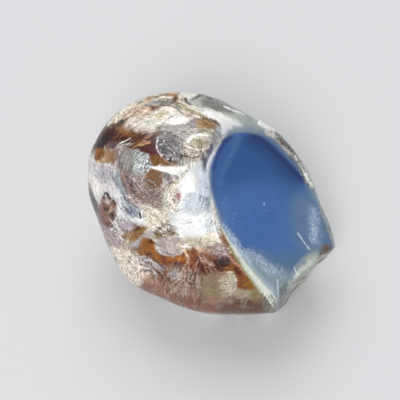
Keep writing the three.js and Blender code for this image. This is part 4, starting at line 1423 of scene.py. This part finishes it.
def laid_layers(mesh, paint):
    """Puts the paint's layers on the mesh for the material to read."""
    deep = np.maximum(paint.tint - GLOSS * (1 - paint.window)[:, None], LEAST_TINT * paint.tint)
    tint = mesh.attributes.new("tint", "FLOAT_COLOR", "POINT")
    tint.data.foreach_set("color", np.concatenate([deep, np.ones((len(deep), 1))], axis=1).ravel())
    for name in ("grain", "frost", "soot", "window", "fibres"):
        layer = mesh.attributes.new(name, "FLOAT", "POINT")
        layer.data.foreach_set("value", getattr(paint, name))


def skin_normals(points, quads):
    """Each point's outward unit vector, from the quads round it."""
    across = points[quads[:, 2]] - points[quads[:, 0]]
    back = points[quads[:, 3]] - points[quads[:, 1]]
    facing = np.cross(across, back)
    normals = np.zeros_like(points)
    for k in range(4):
        np.add.at(normals, quads[:, k], facing)
    return normals / np.linalg.norm(normals, axis=1)[:, None]


def build_stone():
    """The stone's fine skin, painted and laid down where the part's own stone is."""
    directions, quads = ball_grid()
    points = skin_points(directions)
    normals = skin_normals(points, quads)
    paint = Paint(points, normals[:, 2])
    for zone in (
        paint_rind_all_round, paint_ground_tones, paint_crown, paint_lens, paint_left_cheek, paint_brow,
        paint_heart, paint_left_flank, paint_amber_foot, paint_dark_foot, paint_shoulder, paint_specks,
        paint_window, paint_ridge, paint_chip_face, paint_ledge,
    ):
        zone(paint)

    paint.relief *= smooth(0, 3, REST_REACH - points @ DOWN)
    laid = (points + normals * paint.relief[:, None]) @ LAID_DOWN
    low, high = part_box("chalcedony_stone")
    middle = (np.array(low) + np.array(high)) / 2 / MM
    bare = points @ LAID_DOWN
    own = (bare.min(axis=0) + bare.max(axis=0)) / 2
    centre = np.array([middle[0] - own[0], middle[1] - own[1], low.z / MM - bare[:, 2].min()])
    mesh = bpy.data.meshes.new("blue_chalcedony")
    mesh.from_pydata(((laid + centre) * MM).tolist(), [], quads.tolist())
    mesh.polygons.foreach_set("use_smooth", np.ones(len(quads), bool))
    laid_layers(mesh, paint)
    mesh.update()
    stone_object = bpy.data.objects.new("blue_chalcedony", mesh)
    bpy.context.scene.collection.objects.link(stone_object)
    material = bpy.data.materials.new("polished_stone")
    finish_stone(material)
    mesh.materials.append(material)
    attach(stone_object, "root")
    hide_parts("chalcedony_stone")
    return centre


def lay_floor():
    """A plain pale floor."""
    corners = [(FLOOR_REACH * x, FLOOR_REACH * y, 0) for x, y in ((-1, -1), (1, -1), (1, 1), (-1, 1))]
    mesh = bpy.data.meshes.new("floor")
    mesh.from_pydata(corners, [], [(0, 1, 2, 3)])
    floor = bpy.data.objects.new("floor", mesh)
    bpy.context.scene.collection.objects.link(floor)
    material = bpy.data.materials.new("pale_floor")
    links = Links(material)
    shader = links.node("BsdfPrincipled", base_color=FLOOR_COLOUR, roughness=0.9)
    links.node("OutputMaterial", _0=shader)
    mesh.materials.append(material)


def hang_lamp(name, centre, direction, distance, size, power):
    """A square soft light that faces the stone from a direction given as right, up and towards."""
    offset = np.array(direction, float)
    offset /= np.linalg.norm(offset)
    data = bpy.data.lights.new(name, "AREA")
    data.shape = "SQUARE"
    data.size = size
    data.energy = power
    lamp = bpy.data.objects.new(name, data)
    back = Vector(offset @ LAID_DOWN)
    lamp.location = Vector(centre) * MM + back * distance
    lamp.rotation_mode = "QUATERNION"
    lamp.rotation_quaternion = back.to_track_quat("Z", "Y")
    bpy.context.scene.collection.objects.link(lamp)


def light_scene(centre):
    """A large key light from above, a fill light from the front and a pale room."""
    hang_lamp("key_light", centre, direction=(-0.12, 0.85, 0.4), distance=0.9, size=0.8, power=5)
    hang_lamp("fill_light", centre, direction=(-0.13, -0.15, 1), distance=1.2, size=0.5, power=9)
    world = bpy.data.worlds.new("soft_room")
    bpy.context.scene.world = world
    links = Links(world)
    links.node("OutputWorld", _0=links.node("Background", color=ROOM_COLOUR, strength=ROOM_STRENGTH))


def place_camera(centre):
    """Looks along w at the stone's middle, with the frame shifted a little so that the stone sits right."""
    data = bpy.data.cameras.new("camera")
    data.sensor_width = SENSOR
    data.lens = data.sensor_width * VIEW_DISTANCE / FRAME_SPAN
    data.shift_x = FRAME_OFFSET[0] / FRAME_SPAN
    data.shift_y = FRAME_OFFSET[1] / FRAME_SPAN
    data.clip_start = 0.01
    camera = bpy.data.objects.new("camera", data)
    turned = Matrix(LAID_DOWN.T.tolist()).to_4x4()
    camera.matrix_world = Matrix.Translation((centre + TOWARDS * VIEW_DISTANCE) * MM) @ turned
    bpy.context.scene.collection.objects.link(camera)
    bpy.context.scene.camera = camera


stone_centre = build_stone()
lay_floor()
light_scene(stone_centre)
place_camera(stone_centre)
bpy.context.scene.view_settings.view_transform = "Standard"
